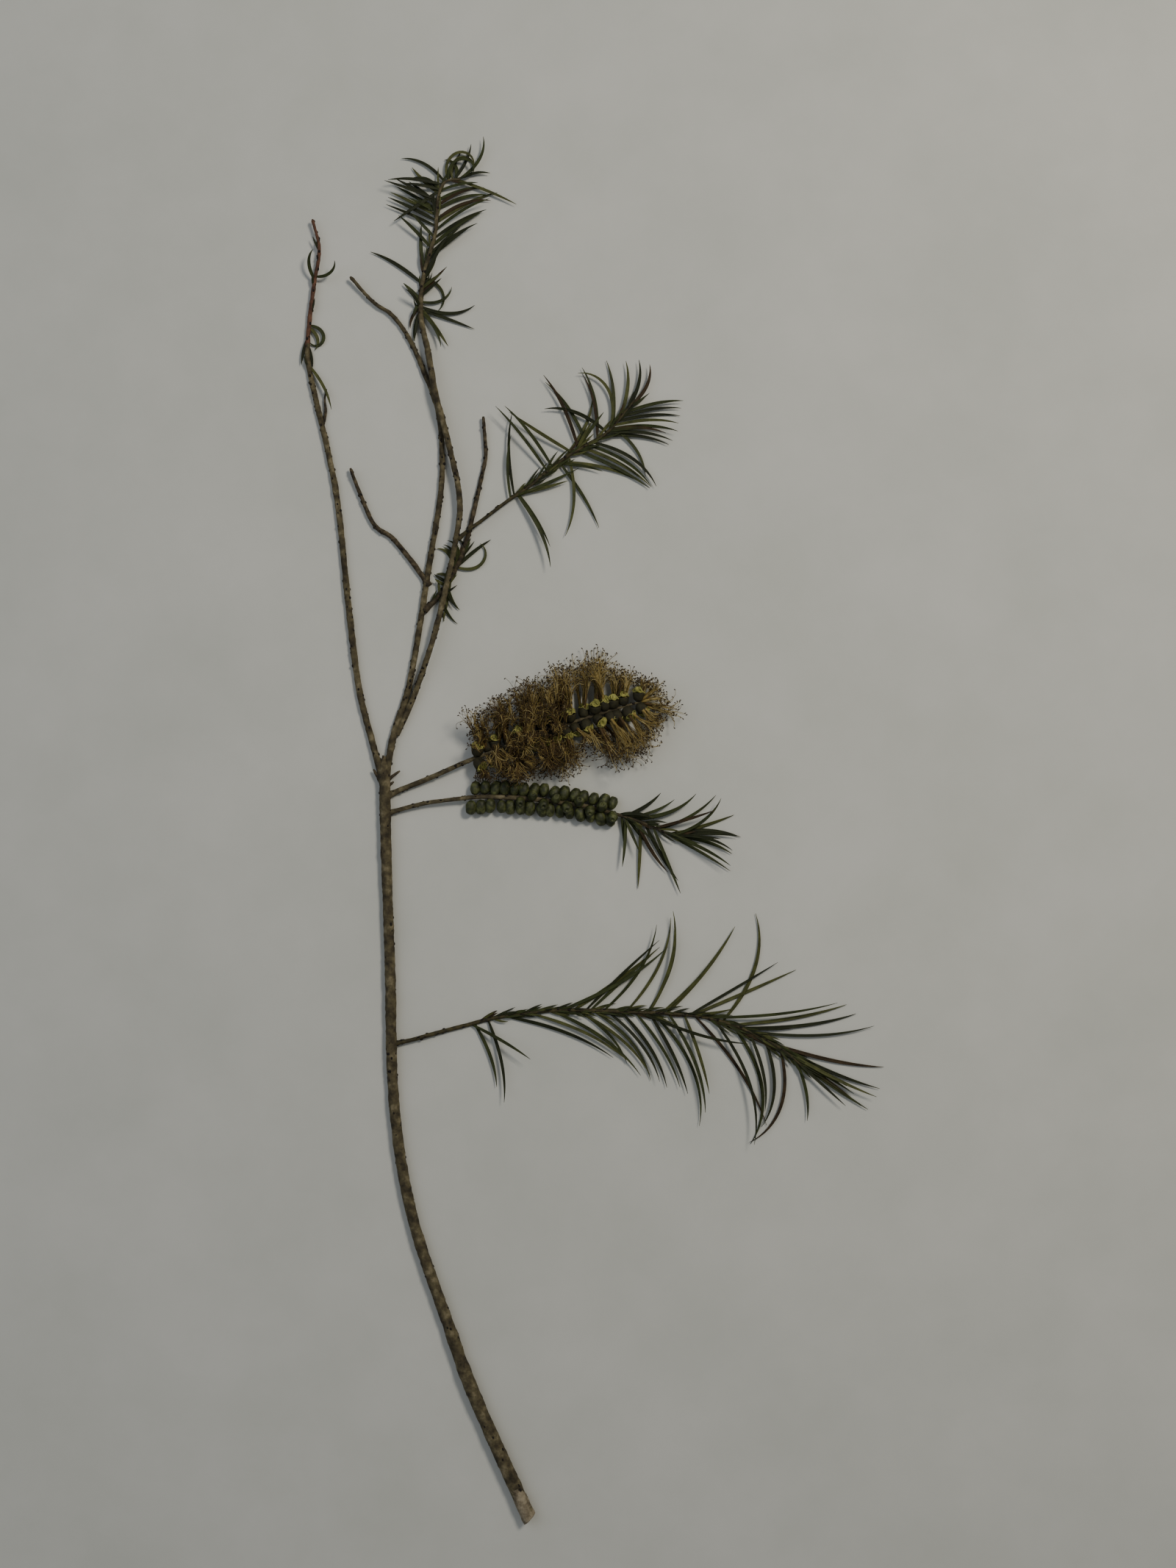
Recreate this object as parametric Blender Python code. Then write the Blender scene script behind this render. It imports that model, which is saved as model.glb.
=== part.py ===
# Cut flowering branch of bracelet honey-myrtle, lying flat on a level surface.
# Lengths are millimetres until a mesh is made. X runs to the right, Y along the
# branch from its cut foot to its tips, and Z up from the surface it lies on.

import math
import random

import bmesh
import bpy
from mathutils import Matrix, Vector

MM = 0.001
GAP = 0.3
SEED = 7

# Each limb is one smooth line through a few places: x, y and how far its
# underside is above the surface. radii are spaced evenly along it. cuts are the
# lengths along it where one piece ends and the next begins.
MAIN_STEM = {
    "route": (
        (-15.6, -173.4, 0), (-29.5, -142.5, 0), (-36, -125, 0), (-45.5, -96.5, 0),
        (-50, -68.5, 0), (-51, -35, 0), (-52, -5, 0), (-52.4, 15.5, 0),
    ),
    "radii": (1.8, 1.7, 1.45, 1.34, 1.34, 1.34, 1.45),
    "spacing": 7,
}
LEFT_LIMB = {
    "route": (
        (-53.7, 15.8, 0.3), (-56, 24, 0), (-59, 36.5, 0), (-61.5, 56.5, 0), (-64, 80.5, 0),
        (-66.5, 94.5, 0), (-70, 109.5, 0), (-71.8, 119, 0), (-71.3, 128, 0.3),
        (-70, 138, 0.6), (-68.8, 146, 0.8), (-70.5, 153.4, 1.2),
    ),
    "radii": (0.85, 0.8, 0.75, 0.65, 0.35),
    "spacing": 6,
    "cuts": (101,),
}
MIDDLE_LIMB = {
    "route": (
        (-51.6, 15.8, 0.3), (-50, 24.5, 0), (-46.5, 35.5, 0), (-43.5, 52, 0), (-41.5, 65, 0),
        (-38.5, 83.5, 0), (-38, 94.5, 0), (-39, 105.5, 0), (-43, 116.5, 0), (-46.5, 124, 0.1),
        (-50.5, 129.5, 0.3), (-55.5, 133, 0.6), (-61, 139, 1.2),
    ),
    "radii": (0.9, 0.76, 0.72, 0.66, 0.4),
    "spacing": 6,
}
RIGHT_LIMB = {
    "route": (
        (-49.4, 24, 0), (-46.4, 30.5, 0.4), (-44, 36.5, 0.9), (-39, 52, 1.8), (-34.5, 72.5, 1.8),
        (-33.5, 83.5, 1.6), (-36.5, 98, 1.7), (-39.5, 109.5, 2), (-41.5, 120.5, 1.2),
        (-43.4, 130, 0.3), (-42.5, 140, 0), (-39.8, 150, 0), (-39, 159, 0.2),
        (-37.2, 163, 0.5), (-33.3, 163.6, 1),
    ),
    "radii": (0.75, 0.7, 0.7, 0.72, 0.8, 0.55, 0.3),
    "spacing": 5,
    "cuts": (107,),
}
LEFT_TWIG = {
    "route": (
        (-41.2, 61.5, 0), (-45.5, 67.5, 0), (-50.5, 73.5, 0), (-55, 76.8, 0.2),
        (-58.5, 84.5, 0.5), (-61, 91, 1),
    ),
    "radii": (0.7, 0.6, 0.4),
    "spacing": 3.5,
}
UPRIGHT_TWIG = {
    "route": (
        (-42.5, 55.2, 0), (-38, 60, 0), (-34, 67, 0), (-31.8, 73, 0), (-30.2, 79.5, 0),
        (-28.5, 87, 0), (-27.1, 93.5, 0.2), (-27.2, 98, 0.4), (-27.6, 104, 0.8),
    ),
    "radii": (0.72, 0.6, 0.4),
    "spacing": 3,
    "cuts": (22.5,),
}
MIDDLE_SHOOT = {
    "route": (
        (-34, 73, 1.9), (-31, 75.5, 1.8), (-27, 78.5, 1.4), (-21.6, 82.7, 0.8), (-16, 86.6, 0.5),
        (-8, 93, 0.5), (-2, 96.7, 0.6), (3.5, 100, 0.8), (8, 105, 1), (10.5, 108.2, 1.2),
    ),
    "radii": (0.46, 0.46, 0.42, 0.28),
    "spacing": 3,
    "cuts": (15.5,),
}
FLOWER_AXIS = {
    "route": (
        (-52, 8.6, 0.6), (-48, 10.4, 0.7), (-42, 12.8, 1), (-38.3, 14.4, 1.5), (-31, 17.6, 2.2),
        (-23.5, 20.4, 2.6), (-16, 23.5, 2.6), (-5, 27.2, 2.6), (6, 30.6, 2.6), (12.2, 32.4, 2.6),
    ),
    "radii": (0.72, 0.58, 0.5, 0.45, 0.3),
    "spacing": 3,
    "cuts": (23.3,),
}
FRUIT_AXIS = {
    "route": (
        (-52, 4.2, 0.7), (-48.5, 5.3, 0.8), (-42, 6.9, 1.2), (-34.5, 7.9, 1.6), (-27.2, 8.5, 1.7),
        (-16, 8, 1.6), (-8.7, 7.1, 1.5), (-1.3, 6, 1.4), (5.2, 4.3, 1.2), (11.7, 2.3, 0.9),
        (17.2, -0.1, 0.6), (19.4, -1.2, 0.5), (22.8, -1.5, 0.5),
    ),
    "radii": (0.58, 0.5, 0.6, 0.6, 0.4, 0.25),
    "spacing": 3,
    "cuts": (20.6, 58.4),
}
LOWER_SHOOT = {
    "route": (
        (-50.8, -53.6, 0.8), (-45.7, -52.6, 0.6), (-38.3, -50.6, 0.2), (-32.4, -49.1, 0),
        (-23.5, -46.9, 0), (-8.7, -45.2, 0), (8, -45.6, 0), (24.6, -46.5, 0.1), (35.7, -49.1, 0.2),
        (46.8, -54.5, 0.5), (52.4, -59.1, 0.8),
    ),
    "radii": (0.55, 0.48, 0.48, 0.42, 0.3),
    "spacing": 4,
    "cuts": (18.9,),
}
LEFT_SPUR = {
    "route": ((-68, 101.6, 0.1), (-67.3, 105.1, 0.2), (-67.5, 108.2, 0.4), (-67, 111, 0.6)),
    "radii": (0.4, 0.33, 0.2),
    "spacing": 1.8,
}
FORK_STUB = {
    "route": ((-51.5, 12.6, 0.9), (-50.2, 13.8, 1), (-48.5, 15, 1.2)),
    "radii": (0.45, 0.25),
    "spacing": 1.3,
}
FORK_BUD = {
    "route": ((-53.2, 12.6, 0.9), (-54.2, 13.8, 0.9), (-55.2, 15.4, 1)),
    "radii": (0.55, 0.3),
    "spacing": 1.3,
}

# The foot was cut slanting across the stem.
FOOT_SLANT = 21

# A leaf is a narrow blade, flat above and keeled below.
LEAF_WIDTH = 0.88
LEAF_SECTION = ((-0.5, 0.12), (0.5, 0.12), (0, -0.3))
LEAF_TAPER = (0.75, 1, 1, 0.72, 0.12)
LEAF_REST = 0.4
LEAF_RISE = 3.4
KNOT_RISE = 0.2
AIM_SPREAD = 2.5
LENGTH_SPREAD = 0.04
TURN_PER_STEP = 24
LATE_BEND = 1.5

# A shoot's leaves grow in fans. Each fan has a number of leaves, and its first
# and last leaf's share of the way along the shoot, aim in degrees round from +X,
# length, and bend from root to tip in degrees.
LEFT_TIP_FANS = (
    (1, (0.14, 0.14), (-62, -62), (13.5, 13.5), (-30, -30)),
    (2, (0.3, 0.26), (-101, -76), (7, 6), (18, -20)),
    (1, (0.37, 0.37), (-105, -105), (11, 11), (-250, -250)),
    (1, (0.36, 0.36), (-76, -76), (6.5, 6.5), (-95, -95)),
    (2, (0.64, 0.66), (92, 34), (7.5, 7.5), (-70, 117)),
)
TOP_FANS = (
    (2, (0.08, 0.11), (-100, -116), (7.5, 6.5), (30, 50)),
    (2, (0.08, 0.1), (-63, -54), (11, 12), (-40, -8)),
    (2, (0.09, 0.11), (-18, 3), (14, 15), (-4, 62)),
    (1, (0.14, 0.14), (26, 26), (9.5, 9.5), (95, 95)),
    (2, (0.1, 0.15), (133, 138), (5.5, 6), (40, 0)),
    (2, (0.2, 0.22), (42, 32), (9, 6), (5, 0)),
    (1, (0.29, 0.29), (-70, -70), (12, 12), (-130, -130)),
    (1, (0.25, 0.25), (146, 146), (15.5, 15.5), (22, 22)),
    (2, (0.26, 0.31), (58, 91), (13.5, 13), (-10, -15)),
    (6, (0.4, 0.64), (34, 26), (13, 17), (-8, -24)),
    (4, (0.66, 0.84), (20, 10), (15.5, 10), (-45, -20)),
    (2, (0.48, 0.55), (134, 136), (11.5, 8), (8, -5)),
    (5, (0.62, 0.75), (158, 150), (14, 12), (4, 8)),
    (2, (0.78, 0.82), (163, 138), (13.5, 10), (0, -16)),
    (1, (0.84, 0.84), (-144, -144), (14, 14), (-2, -2)),
    (2, (0.84, 0.88), (157, 176), (8, 14), (60, 19)),
    (2, (0.92, 0.92), (6, 64), (12.5, 8), (-215, -10)),
    (1, (0.97, 0.97), (118, 118), (7, 7), (110, 110)),
    (2, (0.96, 0.99), (64, 62), (10, 13.5), (31, 70)),
    (2, (0.97, 0.99), (-22, 10), (17, 8), (-9, -40)),
)
KNOT_FANS = (
    (2, (0.5, 0.56), (122, 116), (9, 7.2), (100, 74)),
    (1, (0.6, 0.6), (46, 46), (13, 13), (165, 165)),
    (1, (0.6, 0.6), (38, 38), (11.5, 11.5), (-14, -14)),
    (2, (0.38, 0.46), (-66, -98), (7.5, 11.5), (40, 0)),
    (2, (0.4, 0.47), (150, 168), (4, 4), (-20, 30)),
)
MIDDLE_FANS = (
    (2, (0.06, 0.08), (91, -64), (21.5, 20), (-23, -31)),
    (1, (0.05, 0.05), (23, 23), (18.5, 18.5), (7, 7)),
    (2, (0.31, 0.35), (130, 126), (21, 20), (11, 17)),
    (2, (0.43, 0.52), (65, 53), (18.5, 12), (40, -4)),
    (1, (0.5, 0.5), (147, 147), (19.5, 19.5), (-6, -6)),
    (2, (0.54, 0.6), (113, 126), (20, 20), (24, 28)),
    (2, (0.67, 0.76), (100, 118), (19, 20), (33, 115)),
    (1, (0.74, 0.74), (160, 160), (18, 18), (50, 50)),
    (4, (0.79, 0.95), (94, 63), (17.5, 12.5), (25, 60)),
    (1, (0.4, 0.4), (-13, -13), (21, 21), (-29, -29)),
    (2, (0.4, 0.47), (-60, -94), (20, 20), (-17, -39)),
    (4, (0.53, 0.63), (-27, -36), (21, 20), (-15, -52)),
    (1, (0.79, 0.79), (-56, -56), (15.5, 15.5), (-50, -50)),
    (7, (0.7, 0.9), (-8, 12), (17.5, 15), (-32, -22)),
)
FRUIT_SHOOT_FANS = (
    (1, (0.05, 0.05), (-7, -7), (9, 9), (-43, -43)),
    (3, (0.13, 0.26), (33, 14), (11, 14), (29, 30)),
    (1, (0.2, 0.2), (22, 22), (18, 18), (50, 50)),
    (2, (0.58, 0.63), (19, 30), (15, 17), (7, 32)),
    (3, (0.78, 0.84), (0, 38), (18.5, 16), (-33, 49)),
    (1, (0.82, 0.82), (-1, -1), (17, 17), (-15, -15)),
    (3, (0.09, 0.16), (-86, -52), (8, 11), (-10, 5)),
    (1, (0.15, 0.15), (-93, -93), (13, 13), (-8, -8)),
    (3, (0.3, 0.55), (-58, -66), (15, 17.5), (20, 0)),
    (1, (0.37, 0.37), (-95, -95), (17, 17), (-2, -2)),
    (4, (0.74, 0.86), (-31, -12), (18.5, 16), (-8, -41)),
)
LOWER_FANS = (
    (3, (0.28, 0.35), (31, 45), (31, 25), (22, -5)),
    (3, (0.4, 0.53), (58, 75), (26, 28), (40, 41)),
    (2, (0.58, 0.65), (54, 24), (27.5, 28), (16, 2)),
    (2, (0.62, 0.69), (9, 9), (13, 32), (18, 14)),
    (1, (0.74, 0.74), (75, 75), (30, 30), (58, 58)),
    (3, (0.77, 0.82), (11, 1), (29, 32), (15, 24)),
    (1, (0.79, 0.79), (-1, -1), (14, 14), (10, 10)),
    (1, (0.02, 0.02), (-27, -27), (17, 17), (-12, -12)),
    (2, (0.03, 0.07), (-73, -78), (17, 21), (-28, -28)),
    (4, (0.12, 0.32), (-19, -41), (30, 26), (-25, -36)),
    (5, (0.37, 0.53), (-50, -63), (23, 23), (-45, -18)),
    (1, (0.51, 0.51), (-18, -18), (28, 28), (20, 20)),
    (3, (0.54, 0.63), (-66, -70), (31, 21), (-55, -12)),
    (3, (0.66, 0.77), (-56, -84), (34, 32.5), (-26, -70)),
    (3, (0.82, 0.92), (-78, -108), (20, 27), (-32, -80)),
    (4, (0.9, 0.95), (-14, -36), (27.5, 25), (16, 6)),
    (2, (0.96, 0.98), (-41, -78), (18, 15), (0, -30)),
)

# The flower spike: cups close along its stalk on both sides, each with two flat
# bundles of stamens that widen to the brush's outline, and a few bundles at its
# tip. The reaches are how far the brush stands from the stalk, evenly spaced from
# foot to tip, and a lean is how far its bundles turn from square to the stalk.
CUPS_PER_SIDE = 13
CUP_LENGTH = 2.8
CUP_RADII = (0.8, 1.4)
CUP_SIDES = 6
BUNDLE_SPREAD = (-9, 9)
BUNDLE_WIDTH = 3.4
BUNDLE_SECTION = ((-0.5, 0.07), (0.5, 0.07), (0, -0.13))
BUNDLE_TAPER = (0.18, 0.6, 1, 0.4)
BRUSH_SIDES = (
    (1, (6, 9.5, 14.5, 17, 15.5, 15, 15.5, 17, 16, 8.5, 7.5), -19),
    (-1, (6, 9.5, 10, 10, 11, 13, 8, 15.5, 17, 13, 9), -17),
)
BRUSH_TILTS = (-24, 12, 34)
TIP_BUNDLES = ((40, 7.5), (12, 7), (-14, 11), (-50, 9))

# The fruit spike: seed capsules sit tight along its stalk in a row on each side,
# and more lie on top of its further half.
CAPSULES_PER_SIDE = 15
CAPSULES_ON_TOP = 9
TOP_FROM = 0.36
CAPSULE_WIDTH = 2.7
CAPSULE_LENGTH = 3.9
CAPSULE_SIDES = 8
CAPSULE_RINGS = 4
CAPSULE_OUT = 2.45
FRUIT_HALF_WIDTH = 4.8
FRUIT_AIM = -6
CAPSULE_LEAN = 22
CORE_RADIUS = 1.1
CORE_DROP = 0.75

BARK = ("#5d5449", 0.85)
TWIG_BARK = ("#4a3b31", 0.8)
LEAF_GREEN = ("#3d4229", 0.6)
BLOSSOM = ("#8a6a2c", 0.8)
CAPSULE_GREEN = ("#33361f", 0.65)


def linear(channel):
    return channel / 12.92 if channel <= 0.04045 else ((channel + 0.055) / 1.055) ** 2.4


def material(name, finish):
    colour, roughness = finish
    made = bpy.data.materials.new(name)
    made.use_nodes = True
    shader = made.node_tree.nodes["Principled BSDF"]
    parts = [linear(int(colour[i:i + 2], 16) / 255) for i in (1, 3, 5)]
    shader.inputs["Base Color"].default_value = (*parts, 1)
    shader.inputs["Roughness"].default_value = roughness
    shader.inputs["Metallic"].default_value = 0
    return made


def between(ends, share):
    return ends[0] + (ends[1] - ends[0]) * share


def spaced(values, share):
    # The value at this share of the way along evenly spaced ones.
    place = min(max(share, 0), 1) * (len(values) - 1)
    first = min(int(place), len(values) - 2)
    return between(values[first:first + 2], place - first)


def heading(degrees):
    return Vector((math.cos(math.radians(degrees)), math.sin(math.radians(degrees)), 0))


# Limbs as lines of stations, each a place and a radius

def smooth(points, per_span=24):
    # The Catmull-Rom line through the points.
    points = [Vector(p) for p in points]
    padded = [2 * points[0] - points[1], *points, 2 * points[-1] - points[-2]]
    line = []
    for a, b, c, d in zip(padded, padded[1:], padded[2:], padded[3:]):
        for i in range(per_span):
            t = i / per_span
            line.append(
                0.5 * (2 * b + (c - a) * t + (2 * a - 5 * b + 4 * c - d) * t * t
                       + (3 * b - a - 3 * c + d) * t ** 3)
            )
    return line + [points[-1]]


def measured(line):
    lengths = [0]
    for a, b in zip(line, line[1:]):
        lengths.append(lengths[-1] + (b - a).length)
    return lengths


def at_length(line, lengths, wanted):
    for i in range(1, len(line)):
        if lengths[i] >= wanted:
            span = lengths[i] - lengths[i - 1]
            return line[i - 1].lerp(line[i], (wanted - lengths[i - 1]) / span)
    return line[-1].copy()


def stations(limb):
    # Fine stations along the whole limb, lying on the surface or above it.
    line = smooth(limb["route"])
    lengths = measured(line)
    found = []
    for place, length in zip(line, lengths):
        radius = spaced(limb["radii"], length / lengths[-1])
        found.append((place + Vector((0, 0, radius)), radius))
    return found


def stretch(fine, start, end, spacing):
    # Evenly spaced stations between two lengths along the fine ones.
    line = [place for place, _ in fine]
    lengths = measured(line)
    end = min(end, lengths[-1])
    steps = max(2, round((end - start) / spacing))
    picked = []
    for i in range(steps + 1):
        length = start + (end - start) * i / steps
        index = min(range(len(lengths)), key=lambda k: abs(lengths[k] - length))
        picked.append((at_length(line, lengths, length), fine[index][1]))
    return picked


def distance_to_line(point, line):
    nearest = 1e9
    for (a, _), (b, _) in zip(line, line[1:]):
        along = b - a
        share = min(max((point - a).dot(along) / along.length_squared, 0), 1)
        nearest = min(nearest, (point - a - along * share).length)
    return nearest


def clear_start(fine, host):
    # How far along a limb its end face first clears the limb it grows from.
    line = [place for place, _ in fine]
    lengths = measured(line)
    length = 0
    while True:
        place = at_length(line, lengths, length)
        ahead = (at_length(line, lengths, length + 0.4) - place).normalized()
        across = ahead.cross(Vector((0, 0, 1))).normalized() * fine[0][1]
        host_radius = min(host, key=lambda s: (s[0] - place).length)[1]
        rim = [place, place + across, place - across]
        if min(distance_to_line(p, host) for p in rim) > host_radius + GAP:
            return length
        length += 0.05


def pieces_of(limb, host=None):
    # The limb's stations for each of its pieces, with a gap at each cut.
    fine = stations(limb)
    whole = measured([place for place, _ in fine])[-1]
    start = clear_start(fine, host) if host else 0
    parts = []
    for cut in (*limb.get("cuts", ()), whole + GAP):
        parts.append(stretch(fine, start, cut - GAP, limb["spacing"]))
        start = cut
    return parts


# Solids

def new_collection(name):
    made = bpy.data.collections.new(name)
    bpy.context.scene.collection.children.link(made)
    return made


def curve_object(name, line, radii, collection):
    data = bpy.data.curves.new(name, "CURVE")
    data.dimensions = "3D"
    data.twist_mode = "Z_UP"
    data.use_fill_caps = True
    spline = data.splines.new("POLY")
    spline.points.add(len(line) - 1)
    for point, place, radius in zip(spline.points, line, radii):
        point.co = (*(place * MM), 1)
        point.radius = radius
    made = bpy.data.objects.new(name, data)
    collection.objects.link(made)
    return made


def tube(name, line, collection, finish=None):
    made = curve_object(name, [p for p, _ in line], [r for _, r in line], collection)
    made.data.bevel_depth = MM
    made.data.bevel_resolution = 2
    if finish:
        made.data.materials.append(finish)
    return made


def link_form(form, name, collection):
    mesh = bpy.data.meshes.new(name)
    form.to_mesh(mesh)
    form.free()
    collection.objects.link(bpy.data.objects.new(name, mesh))


def section_guide(name, corners, collection):
    data = bpy.data.curves.new(name, "CURVE")
    spline = data.splines.new("POLY")
    spline.points.add(len(corners) - 1)
    for point, (across, up) in zip(spline.points, corners):
        point.co = (across * MM, up * MM, 0, 1)
    spline.use_cyclic_u = True
    made = bpy.data.objects.new(name, data)
    made.hide_render = True
    made.display_type = "WIRE"
    collection.objects.link(made)
    return made


def blade(line, taper, width, section, collection):
    shares = [i / (len(line) - 1) for i in range(len(line))]
    made = curve_object("blade", line, [width * spaced(taper, s) for s in shares], collection)
    made.data.bevel_mode = "OBJECT"
    made.data.bevel_object = section
    return made


def as_meshes(curves):
    # Each curve's swept surface as a mesh, with its caps welded on.
    graph = bpy.context.evaluated_depsgraph_get()
    meshes = []
    for curve in curves:
        mesh = bpy.data.meshes.new_from_object(curve.evaluated_get(graph))
        form = bmesh.new()
        form.from_mesh(mesh)
        bmesh.ops.remove_doubles(form, verts=form.verts, dist=1e-6)
        bmesh.ops.recalc_face_normals(form, faces=form.faces)
        form.to_mesh(mesh)
        form.free()
        made = bpy.data.objects.new(curve.name, mesh)
        made.matrix_world = curve.matrix_world
        curve.users_collection[0].objects.link(made)
        name = curve.name
        bpy.data.objects.remove(curve)
        made.name = name
        meshes.append(made)
    return meshes


def outer_shell(mesh):
    # Keeps the largest closed surface: sealed hollows fill and scraps drop.
    form = bmesh.new()
    form.from_mesh(mesh)
    waiting = set(form.verts)
    shells = []
    while waiting:
        shell = {waiting.pop()}
        edge = list(shell)
        while edge:
            near = {e.other_vert(v) for v in edge for e in v.link_edges} - shell
            shell |= near
            edge = list(near)
        waiting -= shell
        shells.append(shell)
    shells.sort(key=len)
    for shell in shells[:-1]:
        bmesh.ops.delete(form, geom=list(shell), context="VERTS")
    form.to_mesh(mesh)
    form.free()


def fuse(stem, pile, finish, solver="EXACT"):
    # One solid from a stem and everything in the collection that grows on it.
    join = stem.modifiers.new("join", "BOOLEAN")
    join.operation = "UNION"
    join.operand_type = "COLLECTION"
    join.collection = pile
    join.solver = solver
    graph = bpy.context.evaluated_depsgraph_get()
    joined = bpy.data.meshes.new_from_object(stem.evaluated_get(graph))
    stem.modifiers.clear()
    stem.data = joined
    for piece in list(pile.objects):
        bpy.data.objects.remove(piece)
    bpy.data.collections.remove(pile)
    outer_shell(joined)
    joined.materials.clear()
    joined.materials.append(finish)
    return stem


# Leaves

def leaf_line(root, aim, length, bend, tip_height):
    # A leaf bends more towards its tip, and aims where its tip lies from its root.
    steps = max(4, math.ceil(abs(bend) / TURN_PER_STEP))
    line = [root]
    for i in range(steps):
        share = (i + 1) / steps
        turned = heading(aim + bend * (((i + 0.5) / steps) ** LATE_BEND - 1 / (LATE_BEND + 1)))
        place = line[-1] + turned * (length / steps)
        place.z = root.z + (tip_height - root.z) * math.sin(share * math.pi / 2)
        line.append(place)
    return line


def fan_leaves(stem, fans, rise, seed):
    # The centre lines of a shoot's leaves.
    rng = random.Random(seed)
    line = [place for place, _ in stem]
    lengths = measured(line)
    for count, shares, aims, sizes, bends in fans:
        for k in range(count):
            share = k / max(count - 1, 1)
            root = at_length(line, lengths, between(shares, share) * lengths[-1])
            root.z = max(root.z, LEAF_REST)
            aim = between(aims, share) + rng.uniform(-AIM_SPREAD, AIM_SPREAD)
            length = between(sizes, share) * (1 + rng.uniform(-LENGTH_SPREAD, LENGTH_SPREAD))
            tip_height = LEAF_REST + rise * rng.random() ** 2
            yield leaf_line(root, aim, length, between(bends, share), tip_height)


def touches(line, limbs):
    reach = LEAF_WIDTH / 2 + GAP
    return any(
        distance_to_line(point, limb) < limb[0][1] + reach
        for point in line
        for limb in limbs
    )


def foliage(name, stem, fans, rise, seed, limbs, parts, finish):
    pile = new_collection("leaves of " + name)
    section = section_guide("leaf section", LEAF_SECTION, parts)
    leaves = [
        blade(line, LEAF_TAPER, LEAF_WIDTH, section, pile)
        for line in fan_leaves(stem, fans, rise, seed)
        if not touches(line, limbs)
    ]
    as_meshes(leaves)
    (body,) = as_meshes([tube(name, stem, parts)])
    bpy.data.objects.remove(section)
    return fuse(body, pile, finish)


# Flowers

def flower_cup(place, direction, collection):
    form = bmesh.new()
    turn = direction.to_track_quat("Z", "Y").to_matrix().to_4x4()
    bmesh.ops.create_cone(
        form, cap_ends=True, segments=CUP_SIDES, radius1=CUP_RADII[0] * MM,
        radius2=CUP_RADII[1] * MM, depth=CUP_LENGTH * MM,
        matrix=Matrix.Translation((place + direction * CUP_LENGTH / 2) * MM) @ turn,
    )
    link_form(form, "cup", collection)


def bundle_line(place, aim, reach, tilt, fruit):
    # A bundle's line out from the stalk, shortened where it would reach the fruit.
    level = fruit[0][0].z
    while True:
        tip = place + heading(aim) * reach
        if distance_to_line(Vector((tip.x, tip.y, level)), fruit) > FRUIT_HALF_WIDTH:
            break
        reach -= GAP
    tip.z = max(place.z + reach * math.sin(tilt) / 2, LEAF_REST)
    return [place, place.lerp(tip, 0.4), place.lerp(tip, 0.8), tip]


def flower_spike(name, stem, fruit, parts, finish):
    rng = random.Random(SEED + 20)
    pile = new_collection("flowers")
    section = section_guide("bundle section", BUNDLE_SECTION, parts)
    line = [place for place, _ in stem]
    whole = measured(line)[-1]
    run = line[-1] - line[0]
    along = math.degrees(math.atan2(run.y, run.x))
    bundles = []
    for side, reaches, lean in BRUSH_SIDES:
        square = along + side * (90 + lean)
        for i in range(CUPS_PER_SIDE):
            share = (i + 0.5) / CUPS_PER_SIDE
            place = at_length(line, measured(line), share * whole)
            tilt = math.radians(BRUSH_TILTS[i % len(BRUSH_TILTS)])
            out = heading(square) * math.cos(tilt) + Vector((0, 0, math.sin(tilt)))
            flower_cup(place, out, pile)
            for spread in BUNDLE_SPREAD:
                aim = square + spread + rng.uniform(-4, 4)
                reach = spaced(reaches, share) * rng.uniform(0.88, 1.02)
                bundles.append(bundle_line(place, aim, reach, tilt, fruit))
    for aim, reach in TIP_BUNDLES:
        bundles.append(bundle_line(line[-2], aim, reach, 0, fruit))
    as_meshes([blade(b, BUNDLE_TAPER, BUNDLE_WIDTH, section, pile) for b in bundles])
    (body,) = as_meshes([tube(name, stem, parts)])
    bpy.data.objects.remove(section)
    return fuse(body, pile, finish)


# Fruit

def capsule(centre, direction, size, collection):
    form = bmesh.new()
    bmesh.ops.create_uvsphere(
        form, u_segments=CAPSULE_SIDES, v_segments=CAPSULE_RINGS, radius=0.5 * MM * size
    )
    turn = direction.to_track_quat("Z", "Y").to_matrix().to_4x4()
    shape = Matrix.Diagonal((CAPSULE_WIDTH, CAPSULE_WIDTH, CAPSULE_LENGTH, 1))
    form.transform(Matrix.Translation(centre * MM) @ turn @ shape)
    link_form(form, "capsule", collection)


def fruit_spike(name, stem, parts, finish):
    rng = random.Random(SEED + 40)
    pile = new_collection("capsules")
    line = [place for place, _ in stem]
    lengths = measured(line)
    core = [
        (Vector((place.x, place.y, max(place.z - CORE_DROP, CORE_RADIUS))), CORE_RADIUS)
        for place in line[1:-1]
    ]
    as_meshes([tube("core", core, pile)])
    for side in (1, -1):
        for i in range(CAPSULES_PER_SIDE):
            share = (i + 0.7 + 0.1 * side) / (CAPSULES_PER_SIDE + 0.5)
            place = at_length(line, lengths, share * lengths[-1])
            out = heading(FRUIT_AIM + side * (90 - CAPSULE_LEAN * share) + rng.uniform(-7, 7))
            centre = place + out * (CAPSULE_OUT + rng.uniform(-0.2, 0.2))
            centre.z = CAPSULE_WIDTH / 2 + rng.uniform(0.12, 0.6)
            capsule(centre, (out + Vector((0, 0, -0.25))).normalized(), rng.uniform(0.9, 1.08), pile)
    for i in range(CAPSULES_ON_TOP):
        share = TOP_FROM + (0.98 - TOP_FROM) * i / (CAPSULES_ON_TOP - 1)
        place = at_length(line, lengths, share * lengths[-1])
        side = 1 if i % 2 else -1
        out = heading(FRUIT_AIM + side * 80)
        centre = place + out * 0.9 + Vector((0, 0, 1.3))
        capsule(centre, (out * 0.5 + Vector((0, 0, 1))).normalized(), rng.uniform(0.85, 1.05), pile)
    (body,) = as_meshes([tube(name, stem, parts)])
    return fuse(body, pile, finish)


# The main stem and its slanting foot

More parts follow.
